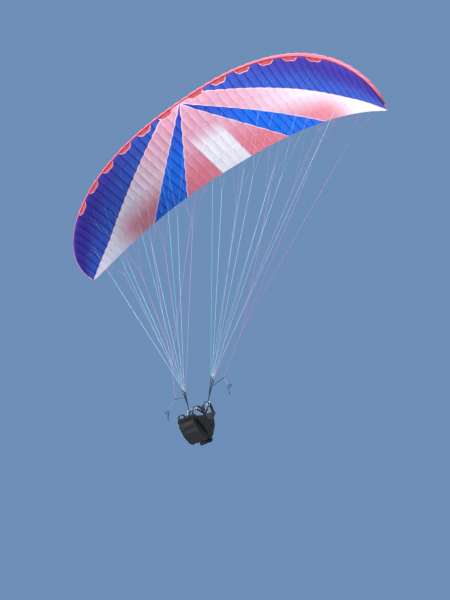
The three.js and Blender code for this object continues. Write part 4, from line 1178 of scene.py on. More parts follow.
def brakeTree():
    # one line up from the pulley, three from its top knot, two from each of those, and three from each of
    # them to the trailing edge
    start = np.array(brake["pulley"]) + (0, 0, brake["aboveAxle"])
    feet = [[edgeFoot(i) for i in pair] for pair in brake["ribs"]]
    low = start + brake["low"] * (np.mean(np.concatenate(feet), 0) - start)
    thick, thin, knots = [(start, low)], [], [(low, start)]
    for pair, points in zip(brake["ribs"], feet):
        high = low + brake["high"] * (np.mean(points, 0) - low)
        thick.append((low, high))
        knots.append((high, low))
        for i, foot in zip(pair, points):
            second = high + brake["second"] * (foot - high)
            thin.append((high, second))
            thin += [(second, edgeFoot(j)) for j in (i - 1, i, i + 1)]
    return joinParts([
        rodsBetween(thick, brake["radius"]),
        rodsBetween(thin, brake["thinShare"] * brake["radius"]),
        knotsPart(knots, brake["knotHalf"], brake["knotSize"] * brake["radius"]),
    ])


for word in sides:
    for row, (finish, slot) in rowLook.items():
        addSided(word, f"lines{row.upper()}", lineTree(row), finish, "wing", f"lines_{row}")
    addSided(word, "brakeFan", brakeTree(), "brake", "wing", "brake_fan")
print("lines ready")


# Straps, stitches and rings, shared by the risers and the harness

stitch = {"pitch": 0.0045, "share": 0.62, "radius": 0.00045}
upright = ((1, 0, 0), (0, 0, 1))  # the plane of what is flat as seen from the front


def resampled(path, step):
    # points at even distances along a path
    path = np.array(path, float)
    length = lengthAlong(path)
    at = np.linspace(0, length[-1], max(2, int(round(length[-1] / step)) + 1))
    return np.stack([np.interp(at, length, path[:, k]) for k in range(3)], -1)


def stitchRow(path, across, offset, lift, pitch=stitch["pitch"]):
    # short threads along a path, moved across it by the offset and out of it by the lift
    points = resampled(path, pitch)
    along = unit(np.diff(points, axis=0))
    side = unit(np.broadcast_to(np.array(across, float), along.shape))
    out = unit(np.cross(along, side))
    at = points[:-1] + offset * side + lift * out
    return rodsPart(at, at + stitch["share"] * pitch * along, stitch["radius"], 4)


def stitchRows(path, across, offsets, lifts):
    # one row of threads for each offset and each lift
    return [stitchRow(path, across, offset, lift) for offset in offsets for lift in lifts]


def stitchBox(corner, u, v):
    # a sewn box with its two diagonals, on a patch spanned by u and v from its corner
    corner, u, v = (np.array(k, float) for k in (corner, u, v))
    corners = [corner, corner + u, corner + u + v, corner + v]
    runs = [(0, 1), (1, 2), (2, 3), (3, 0), (0, 2), (1, 3)]
    return joinParts([stitchRow([corners[a], corners[b]], np.cross(u, v), 0, 0) for a, b in runs])


def ringPart(outline, bar, axes=upright, shift=(0, 0, 0), squash=1.0, sides=12):
    # a bar bent round a closed flat outline that lies in the plane of the two axes
    axes = np.array(axes, float)
    path = np.array(outline) @ axes + np.array(shift)
    return sweepPart(path, circleProfile(bar, sides, squash), np.cross(*axes), closed=True)


def platePart(outline, thickness, axes=upright, shift=(0, 0, 0)):
    # a flat plate: its outline, in the plane of the two axes, carried over its thickness
    axes = np.array(axes, float)
    out = np.cross(*axes) * thickness / 2
    return sweepPart(np.array([-out, out]) + np.array(shift), np.array(outline), axes[0])


def eyePath(centre, radius, steps=18):
    # a full turn in the YZ plane that starts and ends below its centre
    a = np.linspace(-np.pi / 2, 1.5 * np.pi, steps + 1)
    return np.array(centre) + np.stack([0 * a, radius * np.cos(a), radius * np.sin(a)], -1)


def roundedBox(width, height, radius, inset=0.0):
    # a rectangle's outline with round corners; width and height are half of its sizes
    corners = [(x * width, z * height) for x, z in ((-1, -1), (1, -1), (1, 1), (-1, 1))]
    return roundCorners(corners, inset, radius=radius)


def peakOf(corners):
    # height of the highest point of a rounded outline
    return roundCorners(corners)[:, 1].max()


# Quick links, carabiners and risers

link = {
    "corners": ((-0.018, -0.042, 0.008), (0.018, -0.042, 0.008), (0, 0.016, 0.008)), "bar": 0.0025,
    "seam": 0.0003, "nutRadius": 0.0042, "nutLength": 0.013, "nutAt": 0.42,
    "threadEnds": (0.002, 0.003), "threadSize": 1.12, "threadRings": 19,
}


def linkPart(row):
    # a bent steel bar with a barrel nut and its thread on one long side, its top just under the riser's top
    outline = roundCorners(link["corners"], link["bar"])
    outline[:, 1] -= peakOf(link["corners"])
    low, high = (outline[outline[:, k].argmax()] @ np.array(upright) for k in (0, 1))
    centre, way = low + link["nutAt"] * (high - low), unit(high - low)
    ends = [centre + k * link["nutLength"] / 2 * way for k in (-1, 1)]
    nut = rodsPart(*ends, link["nutRadius"], 6, (0, 0.08, 0.92, 1), (0.8, 1, 1, 0.8))
    start, end = ends[0] - link["threadEnds"][0] * way, ends[1] + link["threadEnds"][1] * way
    count = link["threadRings"]
    stations, sizes = np.linspace(0, 1, count), np.tile((1, 0.9), count)[:count]
    thread = rodsPart(start, end, link["bar"] * link["threadSize"], 10, stations, sizes)
    part = joinParts([ringPart(outline, link["bar"]), nut, thread])
    return movePart(part, shift=riserTop(row) - (0, 0, link["seam"]))


# low, high and radius of the spine and of the gate; height, half length and radius of the pins
carabiner = {
    "place": (0.22, -0.278, -8.789009), "width": 0.058, "height": 0.104, "bar": 0.005, "squash": 0.92,
    "corner": 0.02, "spine": (-0.072, -0.018, 0.0056), "gate": (-0.066, -0.024, 0.0068), "gateRings": 10,
    "pins": ((-0.074, 0.0075, 0.0016), (-0.0185, 0.0068, 0.0013)),
}


def carabinerPart():
    # the forged frame: an oval bar, thicker along its spine
    half, high = carabiner["width"] / 2, carabiner["bar"]
    low = high - carabiner["height"]
    corners = ((-half, low), (half, low), (half, high), (-half, high))
    outline = roundCorners(corners, carabiner["bar"], 8, carabiner["corner"])
    part = ringPart(outline, carabiner["bar"], squash=carabiner["squash"], sides=16)
    x = carabiner["bar"] - half
    low, high, radius = carabiner["spine"]
    spine = rodsPart((x, 0, low), (x, 0, high), radius, 16, (0, 0.2, 0.8, 1), (0.8, 1, 1, 0.8))
    return movePart(joinParts([part, spine]), shift=carabiner["place"])


def gatePart():
    # the gate's sleeve with a ringed grip, its hinge pin and its latch nose
    x = carabiner["width"] / 2 - carabiner["bar"]
    low, high, radius = carabiner["gate"]
    stations = np.linspace(0, 1, 41)
    ribs = 1 + 0.035 * np.sign(np.sin(stations * 2 * np.pi * carabiner["gateRings"]))
    ribs[[0, 1, -2, -1]] = (0.82, 0.96, 0.96, 0.82)
    parts = [rodsPart((x, 0, low), (x, 0, high), radius, 18, stations, ribs)]
    for z, half, thin in carabiner["pins"]:
        parts.append(rodsPart((x, -half, z), (x, half, z), thin, 12))
    return movePart(joinParts(parts), shift=carabiner["place"])


riser = {
    "length": 0.4325, "width": 0.015, "thickness": 0.003, "lean": 0.116 / 0.4325, "linkEye": 0.0033,
    "carabinerEye": 0.006, "gathered": 0.09, "overlap": 0.055, "rows": (-0.0052, 0, 0.0052), "proud": 0.0002,
    "zigzag": {"from": 0.02, "to": 0.084, "pitch": 0.0125, "half": 0.006, "thread": 0.0035},
}


def leaned(points):
    # points above the carabiner's top bar, leaned out towards the links
    points = np.array(points, float)
    return points + (np.array(carabiner["place"]) + points[:, 2:] * (riser["lean"], 0, 0))


def riserParts():
    # three straps, each with an eye at its link and its end sewn back down, gathered and sewn together above
    # the carabiner, where one eye holds them
    length, thickness, gathered = riser["length"], riser["thickness"], riser["gathered"]
    profile = bandProfile(riser["width"], thickness)
    low, high = riser["carabinerEye"] + thickness / 2, riser["linkEye"] + thickness / 2
    straps, threads = [sweepPart(leaned(eyePath((0, 0, 0), low)), profile, (1, 0, 0))], []
    face = 1.5 * thickness + riser["proud"]
    for k in (-1, 0, 1):
        offset, layer = k * lines["rowPitch"], k * thickness
        knots = [(0, layer, low * 0.8), (0, layer, 0.04), (0, layer, gathered - 0.004)]
        for share in (0.04, 0.3, 0.6, 0.9):
            knots.append((0, layer + share * (offset - layer), gathered + share * (length - gathered)))
        neck = (0, offset, length - high - 0.006)
        path = np.concatenate([smoothPath([*knots, neck], 5), eyePath((0, offset, length), high)])
        straps.append(sweepPart(leaned(path), profile, (1, 0, 0)))
        way = unit(np.array([0, offset - layer, length - gathered]))
        start = np.array(neck) + np.array([0, way[2], -way[1]]) * thickness * 1.02
        sewn = leaned([start, start - riser["overlap"] * way, start - (riser["overlap"] + 0.004) * way])
        straps.append(sweepPart(sewn, profile, (1, 0, 0), scale=(1, 1, 0.7)))
        threads += stitchRows(sewn[:2], (1, 0, 0), riser["rows"], (-thickness / 2 - riser["proud"], face))
    zigzag = riser["zigzag"]
    for z in np.arange(zigzag["from"], zigzag["to"], zigzag["pitch"]):
        half = zigzag["half"]
        turns = leaned([(-half, 0, z), (half, 0, z + half), (-half, 0, z + zigzag["pitch"])])
        for y in (-face, face):
            for k in (0, 1):
                threads.append(stitchRow(turns[k : k + 2] + (0, y, 0), (0, 0, 1), 0, 0, zigzag["thread"]))
    return joinParts(straps), joinParts(threads)


# Brake pulleys, brake lines and toggles

pulley = {
    "radius": 0.014, "width": 0.01, "cheek": 0.0016, "wheel": 0.0105, "pin": 0.0028, "strap": 0.012,
    "share": 0.72, "drop": 0.35,
}


def pulleyParts():
    # a grooved wheel between two drop-shaped cheeks, on a strap sewn to the rear riser
    centre, share, half = np.array(brake["pulley"]), pulley["share"], pulley["width"] / 2
    root = leaned([(riser["width"] / 2, lines["rowPitch"] * share, riser["length"] * share)])[0]
    way = unit(centre - root)
    path = np.linspace(root - 0.004 * way, centre - way * (pulley["radius"] - 0.004), 10)
    band = sweepPart(path, bandProfile(pulley["strap"], 0.003), (0, 1, 0))
    inner = np.linspace(root + 0.015 * way, root + 0.05 * way, 4) + (0, 0, 0.003)
    lap = sweepPart(inner, bandProfile(pulley["strap"], 0.002), (0, 1, 0))
    threads = stitchRows(inner, (0, 1, 0), (-0.004, 0.004), (0.0012, -0.0048))
    a = 2 * np.pi * np.arange(28) / 28
    drawnOut = 1 + pulley["drop"] * np.exp(-(((a - np.pi) / 0.6) ** 2))
    along, beside = way[[0, 2]], way[[2, 0]] * (1, -1)
    outline = (np.cos(a) * drawnOut)[:, None] * along + np.sin(a)[:, None] * beside
    outline = outline[::-1] * pulley["radius"] * 0.98
    cheeks = []
    for y in (-half + 0.0009, half - 0.0009):
        cheeks.append(platePart(outline, pulley["cheek"], shift=centre + (0, y, 0)))
    groove = rodsPart(centre - (0, half - 0.002, 0), centre + (0, half - 0.002, 0), pulley["wheel"], 28,
                      (0, 0.12, 0.35, 0.5, 0.65, 0.88, 1), (1, 1, 0.74, 0.7, 0.74, 1, 1))
    pin = rodsPart(centre - (0, half, 0), centre + (0, half, 0), pulley["pin"], 14,
                   (0, 0.04, 0.1, 0.9, 0.96, 1), (0.6, 1, 1, 1, 1, 0.6))
    return joinParts([band, lap]), joinParts(threads), joinParts([*cheeks, groove]), pin


toggle = {
    "corners": ((-0.055, -0.095, 0.016), (0.055, -0.095, 0.016), (0, 0.016, 0.016)), "bar": 0.005,
    "depth": 0.014, "steps": 96, "thin": 0.62, "padding": 0.36, "ripple": 0.02, "ripplePitch": 0.012,
    "gripFrom": 0.055, "gripTo": 0.075, "swivel": 0.0058, "tail": 0.12, "tailWidth": 0.02, "line": 0.0024,
    "knotAt": 0.93,
}


def toggleAxes():
    # the toggle's own axes: across, up along the brake line, and out of its flat loop
    away = unit(np.array(brake["toggle"]) - np.array(brake["pulley"]))
    across = unit(np.cross((0, 1, 0), -away))
    return across, -away, np.cross(-away, across)


def toggleParts():
    # a webbing loop with a padded sleeve on its grip, a free end of webbing, a steel swivel in the loop's
    # top, and the threads in the middle of the grip
    across, up, out = toggleAxes()
    plane = np.array([across, up])
    outline = roundCorners(toggle["corners"], toggle["bar"], steps=8)
    closed = np.concatenate([outline, outline[:1]])
    length = lengthAlong(closed)
    at = np.linspace(0, length[-1], toggle["steps"] + 1)[:-1]
    fine = np.stack([np.interp(at, length, closed[:, k]) for k in range(2)], -1)
    isGrip = smoothStep(-fine[:, 1], toggle["gripFrom"], toggle["gripTo"])
    ripple = toggle["ripple"] * np.sin(at * 2 * np.pi / toggle["ripplePitch"]) * isGrip
    size = toggle["thin"] + toggle["padding"] * isGrip + ripple
    circle = circleProfile(1.0, 16)
    soft = np.sign(circle) * np.abs(circle) ** 0.6 * (toggle["depth"] / 2, toggle["bar"])
    loop = sweepPart(fine @ plane, soft, np.cross(across, up), closed=True, scale=size)
    peak = peakOf(toggle["corners"])
    low, high = (np.array([0, peak - k]) @ plane for k in (0.016, 0.001))
    neck = rodsPart(low, high, toggle["swivel"], 14, (0, 0.15, 0.85, 1), (0.7, 1, 0.9, 0.5))
    drop = np.linspace(0, 1, 12)[:, None]
    sway = np.sin(drop * np.pi) * np.array([0.012, 0, 0])
    start = np.array([-0.051, -0.088]) @ plane
    fall = start + drop * toggle["tail"] * np.array([0.12, 0.1, -1.0]) + sway
    tail = sweepPart(fall, bandProfile(toggle["tailWidth"], 0.002), (0, 1, 0))
    middle = np.array([[-0.02, -0.09], [0.02, -0.09]]) @ plane
    threads = joinParts(stitchRows(middle, out, (-0.003, 0.003), (-0.0052, 0.0052)))
    return [movePart(part, shift=brake["toggle"]) for part in (loop, tail, neck, threads)]


def brakeLinePart():
    # the line from the pulley's wheel to the toggle, with a swelling where it is knotted
    across, up, _ = toggleAxes()
    top = np.array(brake["pulley"]) - up * (pulley["radius"] + 0.001)
    end = np.array(brake["toggle"]) + up * (peakOf(toggle["corners"]) - 0.001)
    share = np.linspace(0, 1, 40)
    size = 1 + 0.9 * np.exp(-(((share - toggle["knotAt"]) / 0.025) ** 2))
    path = top + share[:, None] * (end - top)
    return sweepPart(path, circleProfile(toggle["line"], 8), across, scale=size), top, end


for word, side in sides.items():
    for row in lines["rows"]:
        name = f"quickLink{row.upper()}"
        addSided(word, name, linkPart(row), "polished", "wing", f"link_{row}")
    addSided(word, "carabinerFrame", carabinerPart(), "satin", "wing", "carabiner")
    addSided(word, "carabinerGate", gatePart(), "polished", "wing")
    straps, threads = riserParts()
    addSided(word, "riserWebbing", straps, "webbing", "wing", "riser")
    addSided(word, "riserStitching", threads, "thread", "wing")
    band, threads, wheel, pin = pulleyParts()
    addSided(word, "pulleyStrap", band, "webbing", "wing")
    addSided(word, "pulleyStitching", threads, "thread", "wing")
    addSided(word, "pulleyWheel", wheel, "moulded", "wing", "brake_pulley")
    addSided(word, "pulleyPin", pin, "polished", "wing")
    body = f"brake_handle_{word}"
    loop, tail, neck, threads = toggleParts()
    addSided(word, "toggleLoop", loop, "grip", body, "toggle")
    addSided(word, "toggleTail", tail, "webbing", body)
    addSided(word, "toggleSwivel", neck, "polished", body)
    addSided(word, "toggleStitching", threads, "thread", body)
    cord, top, end = brakeLinePart()
    cord = addMesh(f"brakeLine_{word}", onSide(cord, word), finishes["brake"])
    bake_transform(cord)
    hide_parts(f"toggle_line_{word}")
print("links, carabiners, risers and brakes ready")


# Harness, made in its own frame, then turned and hung on the carabiners' lower bars

harness = {"tilt": -0.436, "pivot": (0, -0.278, -8.883009), "sideX": 0.1928}
cosine, sine = np.cos(harness["tilt"]), np.sin(harness["tilt"])
harnessTurn = np.array([[1, 0, 0], [0, cosine, -sine], [0, sine, cosine]])


def hung(part):
    # the part turned about X by the tilt, its own origin on the line through the carabiners' lower bars
    return movePart(part, harnessTurn, harness["pivot"])


def sewnLines(points, rules):
    # 1 on a sewn line and less beside it; each rule is an axis, a place on it and the line's half width
    mask = np.zeros(len(points))
    for axis, place, half in rules:
        mask = np.maximum(mask, np.exp(-(((points[:, axis] - place) / half) ** 2)))
    return mask


# outline is a pad from the side, [y, z]; cut is the half of its outline with x above 0, from above as
# [x, y, radius] where axis is 1, or from the front as [x, z, radius] where axis is 2; half is its greatest
# half width; edges says whether the piping runs round its sides or its two faces; inset and sink are how far
# the cover starts inside the outline, everywhere and on the sewn lines, which are in rules
pads = {
    "seatCushion": {
        "outline": ((-0.215, -0.45), (-0.195, -0.462), (0.205, -0.462), (0.205, -0.415), (-0.195, -0.415),
                    (-0.215, -0.427)),
        "half": 0.19, "axis": 1, "cut": ((0.19, -0.215, 0.04), (0.19, 0.205, 0.002)), "edges": "faces",
        "round": 0.012, "voxel": 0.006, "inset": 0.008, "sink": 0.006, "pressure": 4, "fill": 0.7,
        "rules": ((0, 0.0, 0.006), (0, 0.095, 0.006), (0, -0.095, 0.006), (1, -0.07, 0.006),
                  (1, 0.07, 0.006)),
        "finish": "lining", "replaces": "seat_pan",
    },
    "seatProtector": {
        "outline": ((-0.185, -0.4623), (-0.155, -0.56), (0.04, -0.62), (0.22, -0.61), (0.3, -0.56),
                    (0.3, -0.4623)),
        "half": 0.17, "axis": 1, "cut": ((0.17, -0.185, 0.07), (0.17, 0.3, 0.045)), "edges": "sides",
        "round": 0.03, "voxel": 0.008, "inset": 0.014, "sink": 0.007, "pressure": 4, "fill": 0.8,
        "rules": ((1, -0.04, 0.008), (1, 0.13, 0.008)),
        "finish": "harness", "replaces": "under_seat_protector",
    },
    "backPad": {
        "outline": ((0.2053, -0.4617), (0.246, -0.4617), (0.266, 0.19), (0.236, 0.19)),
        "half": 0.17, "axis": 2, "cut": ((0.17, -0.4617, 0.01), (0.16, 0.19, 0.055)), "edges": "faces",
        "round": 0.012, "voxel": 0.006, "inset": 0.007, "sink": 0.005, "pressure": 4, "fill": 0.6,
        "rules": ((0, 0.0, 0.006), (2, -0.3, 0.006), (2, -0.14, 0.006), (2, 0.02, 0.006)),
        "finish": "lining", "replaces": "back_panel",
    },
    "backProtector": {
        "outline": ((0.2465, -0.4617), (0.37, -0.4617), (0.395, -0.33), (0.365, -0.08), (0.295, 0.06),
                    (0.2626, 0.06)),
        "half": 0.16, "axis": 2, "cut": ((0.16, -0.4617, 0.035), (0.14, 0.06, 0.06)), "edges": "sides",
        "round": 0.03, "voxel": 0.008, "inset": 0.014, "sink": 0.007, "pressure": 4, "fill": 0.8,
        "rules": ((2, -0.2, 0.008), (0, 0.0, 0.008)),
        "finish": "harness", "replaces": "back_protector",
    },
    "reservePouch": {
        "outline": ((0.3729, -0.45), (0.445, -0.45), (0.44, -0.35), (0.3957, -0.331)),
        "half": 0.12, "axis": 2, "cut": ((0.12, -0.45, 0.015), (0.112, -0.331, 0.025)), "edges": "sides",
        "round": 0.014, "voxel": 0.006, "inset": 0.006, "sink": 0.004, "pressure": 3, "fill": 0.8,
        "rules": ((0, 0.0, 0.005),),
        "finish": "harness", "replaces": "reserve_container",
    },
}
cover = {
    "piping": 0.0024, "pipingStep": 0.006, "frames": 20, "quality": 4, "mass": 0.25, "tension": 12,
    "compression": 8, "bending": 0.4,
}


def cutOutline(pad, inset=0.0):
    # the whole outline from above or from the front: its half with x above 0 and the mirror image of that
    half = np.array(pad["cut"])
    return roundCorners(np.concatenate([half, half[::-1] * (-1, 1, 1)]), inset)


def narrowed(points, pad):
    # each point moved towards the middle as far as the cut outline is narrower than the pad at its place
    outline = cutOutline(pad)
    half = outline[outline[:, 0] > 0]
    share = np.interp(points[:, pad["axis"]], half[:, 1], half[:, 0]) / pad["half"]
    return points * np.stack([share, 1 + 0 * share, 1 + 0 * share], -1)


def facesAt(pad, place):
    # lowest and highest reach of the side outline across lines at the given places
    start = np.array(pad["outline"])
    k, other = pad["axis"] - 1, 2 - pad["axis"]
    way = np.roll(start, -1, 0) - start
    way[:, k] += np.where(way[:, k] == 0, 1e-12, 0)
    share = (place[:, None] - start[:, k]) / way[:, k]
    hit = np.where((share > -1e-6) & (share < 1 + 1e-6), start[:, other] + share * way[:, other], np.nan)
    return np.nanmin(hit, 1), np.nanmax(hit, 1)


def closedLoop(loop):
    # points at even distances round a closed loop
    return resampled(np.concatenate([loop, loop[:1]]), cover["pipingStep"])[:-1]


def padSeams(pad):
    # the two closed seams that carry the piping, on the 45 degree line of the rounded edges
    rim = 0.3 * pad["round"]
    if pad["edges"] == "sides":
        flat = roundCorners(pad["outline"], inset=rim, radius=pad["round"])
        loops = [np.column_stack([np.full(len(flat), side * (pad["half"] - rim)), flat]) for side in (-1, 1)]
        return [closedLoop(narrowed(loop, pad)) for loop in loops]
    outline = cutOutline(pad, rim)
    path = closedLoop(np.column_stack([outline, np.zeros(len(outline))]))
    order = [0, 1, 2] if pad["axis"] == 1 else [0, 2, 1]
    found = []
    for reach, way in zip(facesAt(pad, path[:, 1]), (1, -1)):
        found.append(np.column_stack([path[:, :2], reach + way * rim])[:, order])
    return found


def takeShape(piece):
    # the piece's modifiers worked into its mesh
    graph = bpy.context.evaluated_depsgraph_get()
    mesh = bpy.data.meshes.new_from_object(piece.evaluated_get(graph))
    piece.modifiers.clear()
    piece.data = mesh
    return mesh


def readPoints(mesh, what="co"):
    # the places or the normals of all points of a mesh
    values = np.empty(3 * len(mesh.vertices), np.float32)
    mesh.vertices.foreach_get(what, values)
    return values.reshape(-1, 3).astype(float)


def writePoints(mesh, points):
    mesh.vertices.foreach_set("co", points.astype(np.float32).ravel())
    mesh.update()


def blownUp(piece, sewn, pressure):
    # the points of a piece after it is blown up as cloth, held at the sewn ones
    group = piece.vertex_groups.new(name="sewn")
    group.add(np.flatnonzero(sewn).tolist(), 1.0, "REPLACE")
    filling = piece.modifiers.new("filling", "CLOTH")
    settings = filling.settings
    settings.quality = cover["quality"]
    settings.mass = cover["mass"]
    settings.use_pressure = True
    settings.uniform_pressure_force = pressure
    settings.tension_stiffness = cover["tension"]
    settings.compression_stiffness = cover["compression"]
    settings.bending_stiffness = cover["bending"]
    settings.vertex_group_mass = "sewn"
    settings.effector_weights.gravity = 0
    filling.collision_settings.use_collision = False
    filling.point_cache.frame_start = 1
    filling.point_cache.frame_end = cover["frames"]
    for step in range(1, cover["frames"] + 1):
        bpy.context.scene.frame_set(step)
    graph = bpy.context.evaluated_depsgraph_get()
    found = readPoints(piece.evaluated_get(graph).data)
    piece.modifiers.clear()
    bpy.context.scene.frame_set(1)
    piece.vertex_groups.clear()
    return found


def padPiece(name, pad):
    # a box of foam in its cover: voxel remeshed, sunk by the inset and more along the sewn lines, but not at
    # the piped seams, then blown up as cloth between them, no point moving further than the inset
    outline = roundCorners(pad["outline"], radius=pad["round"])
    box = sweepPart([[-pad["half"], 0, 0], [pad["half"], 0, 0]], outline, (0, 1, 0))
    piece = addMesh(name, box, finishes[pad["finish"]])
    edge = piece.modifiers.new("round", "BEVEL")
    edge.width, edge.segments, edge.limit_method, edge.angle_limit = pad["round"], 4, "ANGLE", 0.7
    remesh = piece.modifiers.new("voxels", "REMESH")
    remesh.mode, remesh.voxel_size, remesh.use_smooth_shade = "VOXEL", pad["voxel"], True
    mesh = takeShape(piece)
    points, normals = narrowed(readPoints(mesh), pad), readPoints(mesh, "normal")
    mask = sewnLines(points, pad["rules"])
    seam = np.concatenate(padSeams(pad))
    far2 = (points**2).sum(-1)[:, None] + (seam**2).sum(-1) - 2 * points @ seam.T
    atSeam = np.exp(-np.maximum(far2.min(-1), 0) / (1.6 * pad["voxel"]) ** 2)
    start = points - normals * ((1 - atSeam) * (pad["inset"] + pad["sink"] * mask))[:, None]
    found = start + normals * (pad["inset"] * (1 - mask) * (1 - atSeam))[:, None]
    writePoints(mesh, start)
    found = blownUp(piece, (mask > 0.6) | (atSeam > 0.5), pad["pressure"])
    move = found - start
    far = np.linalg.norm(move, axis=-1, keepdims=True)
    writePoints(mesh, start + move * np.minimum(1, pad["inset"] / np.maximum(far, 1e-9)))
    writePoints(mesh, readPoints(mesh) @ harnessTurn.T + harness["pivot"])
    smooth = piece.modifiers.new("smooth", "SUBSURF")
    smooth.levels = smooth.render_levels = 1
    takeShape(piece)
    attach(piece, "harness")
    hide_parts(pad["replaces"])
    print(name, len(piece.data.polygons), "faces")


def pipingPart(pad):
    # a round cord in each piped seam of a pad
    across = (0, 0, 1.0) if pad["edges"] == "faces" and pad["axis"] == 1 else (0, 1.0, 0)
    across = (1.0, 0, 0) if pad["edges"] == "sides" else across
    profile = circleProfile(cover["piping"], 8)
    return joinParts([sweepPart(seam, profile, across, closed=True) for seam in padSeams(pad)])


for name, pad in pads.items():
    padPiece(name, pad)
pipes = joinParts([pipingPart(pad) for pad in pads.values()])
addPiece("padPiping", hung(pipes), finishes["webbing"], "harness")

sidePanel = {
    "front": -0.168, "back": 0.204, "low": -0.46, "half": 0.0022, "belly": 0.004, "ripple": 0.0006,
    "topEdge": ((-0.175, 0.01, 0.12, 0.204), (-0.458, -0.23, -0.19, -0.15)), "columns": 40, "rows": 24,
    "tape": 0.0032, "flat": (0.38, 0.31), "area": 0.083,
}


def sidePanelParts():
    # a cloth wall from the seat up to a sloping top edge, a little hollow in its middle, its top edge bound
    y = np.linspace(sidePanel["front"], sidePanel["back"], sidePanel["columns"])
    top = np.interp(y, *sidePanel["topEdge"])
    u, v = (y - y[0])[:, None] / (y[-1] - y[0]), np.linspace(0, 1, sidePanel["rows"])[None]
    z = sidePanel["low"] + v * (top - sidePanel["low"])[:, None]
    hollow = sidePanel["belly"] * np.sin(np.pi * u) * np.sin(np.pi * v)
    ripple = sidePanel["ripple"] * np.sin(22 * u + 9 * v) * np.sin(np.pi * v)
    x = harness["sideX"] - hollow * 0.25 + ripple
    grid = np.stack(np.broadcast_arrays(x, y[:, None], z), -1)
    outer, inner = grid + (sidePanel["half"], 0, 0), grid - (sidePanel["half"], 0, 0)
    ring = np.concatenate([outer, inner[:, ::-1]], 1)
    part = gridPart(ring, wrapCols=True, uv=ring[..., 1:])
    rows, cols = ring.shape[:2]
    steps = np.arange(cols // 2 - 1)
    caps = np.stack([steps, steps + 1, cols - 2 - steps, cols - 1 - steps], -1)
    part["faces"] += [caps, (caps + (rows - 1) * cols)[:, ::-1]]
    edge = grid[:, -1]
    binding = sweepPart(edge, circleProfile(sidePanel["tape"], 10, 1.6), (1, 0, 0))
    threads = stitchRow(edge - (0, 0, 0.004), (0, 0, 1), 0, sidePanel["half"] + 0.0009)
    return part, binding, threads


handle = {
    "box": (0.052, 0.017, 0.012), "bar": 0.005, "half": 0.0025, "place": np.array([-0.1981, 0.11, -0.3]),
    "tab": 0.022, "tabPath": (0.15, 0.165, 0.18, 0.197),
}


def handleParts():
    # a flat loop of sewn webbing on the right side wall, and a tab that runs back to the wall's edge
    outline = roundedBox(*handle["box"], handle["bar"])
    loop = ringPart(outline, handle["half"], ((0, 1, 0), (0, 0, 1)), handle["place"], 1.9, 14)
    closed = np.concatenate([outline, outline[:1]])
    path = np.column_stack([0 * closed[:, 0], closed]) + handle["place"] - (handle["half"] * 0.95, 0, 0)
    rows = stitchRows(path, (1, 0, 0), (0,), (-0.0026, 0.0026))
    wall = -harness["sideX"] - 0.0033
    back = [(wall, y, handle["place"][2]) for y in handle["tabPath"]]
    tab = sweepPart(back, bandProfile(handle["tab"], 0.002), (0, 0, 1))
    box = stitchBox((wall - 0.0012, 0.168, -0.308), (0, 0.022, 0), (0, 0, 0.016))
    return loop, tab, joinParts([*rows, box])


mainStrap = {
    "x": 0.22, "eye": 0.0087, "thickness": 0.003, "widths": (0.025, 0.036),
    "end": ((0, 0.0015, -0.06), (0, 0.0015, -0.03)),
    "path": ((0, 0, -0.056), (0, 0, -0.068), (-0.002, 0.001, -0.09), (-0.005, 0.003, -0.115),
             (-0.013, 0.007, -0.17), (-0.0229, 0.01, -0.235), (-0.0229, 0.014, -0.31),
             (-0.0229, 0.02, -0.38), (-0.0229, 0.025, -0.458)),
}


def mainWebbingParts():
    # an eye on the carabiner, its end sewn back, and a strap that turns a quarter and runs down to the seat
    narrow, broad = mainStrap["widths"]
    profile = bandProfile(narrow, mainStrap["thickness"])
    end = np.array(mainStrap["end"])
    eye = np.concatenate([end, eyePath((0, 0, 0), mainStrap["eye"]), end[::-1] * (1, -1, 1)])
    path = smoothPath(mainStrap["path"], 6)
    turn = smoothStep(-path[:, 2], 0.06, 0.12) * np.pi / 2
    across = np.stack([np.cos(turn), np.sin(turn), 0 * turn], -1)
    wide = narrow + (broad - narrow) * turn / (np.pi / 2)
    strap = sweepPart(path, profile, across, scale=np.stack([wide / narrow, 1 + 0 * wide], -1))
    threads = [stitchBox((-0.0095, y, -0.056), (0.019, 0, 0), (0, 0, 0.03)) for y in (-0.0032, 0.0032)]
    threads += stitchRows(path[path[:, 2] < -0.2], (0, 1, 0), (-0.0145, 0.0145), (-0.0017, 0.0017))
    straps = joinParts([sweepPart(eye, profile, (1, 0, 0)), strap])
    return [movePart(part, shift=(mainStrap["x"], 0, 0)) for part in (straps, joinParts(threads))]


shoulder = {
    "path": ((0.095, 0.257, 0.1978), (0.096, 0.225, 0.204), (0.098, 0.185, 0.228), (0.104, 0.11, 0.245),
             (0.112, 0.03, 0.215), (0.122, -0.03, 0.12), (0.14, -0.048, 0.02), (0.158, -0.046, -0.06),
             (0.1853, -0.012, -0.135)),
    "width": 0.05, "thickness": 0.008, "across": (1, 0, 0.15), "band": 0.025,
    "buckle": (0.017, 0.011, 0.004), "buckleAt": 0.72,
}


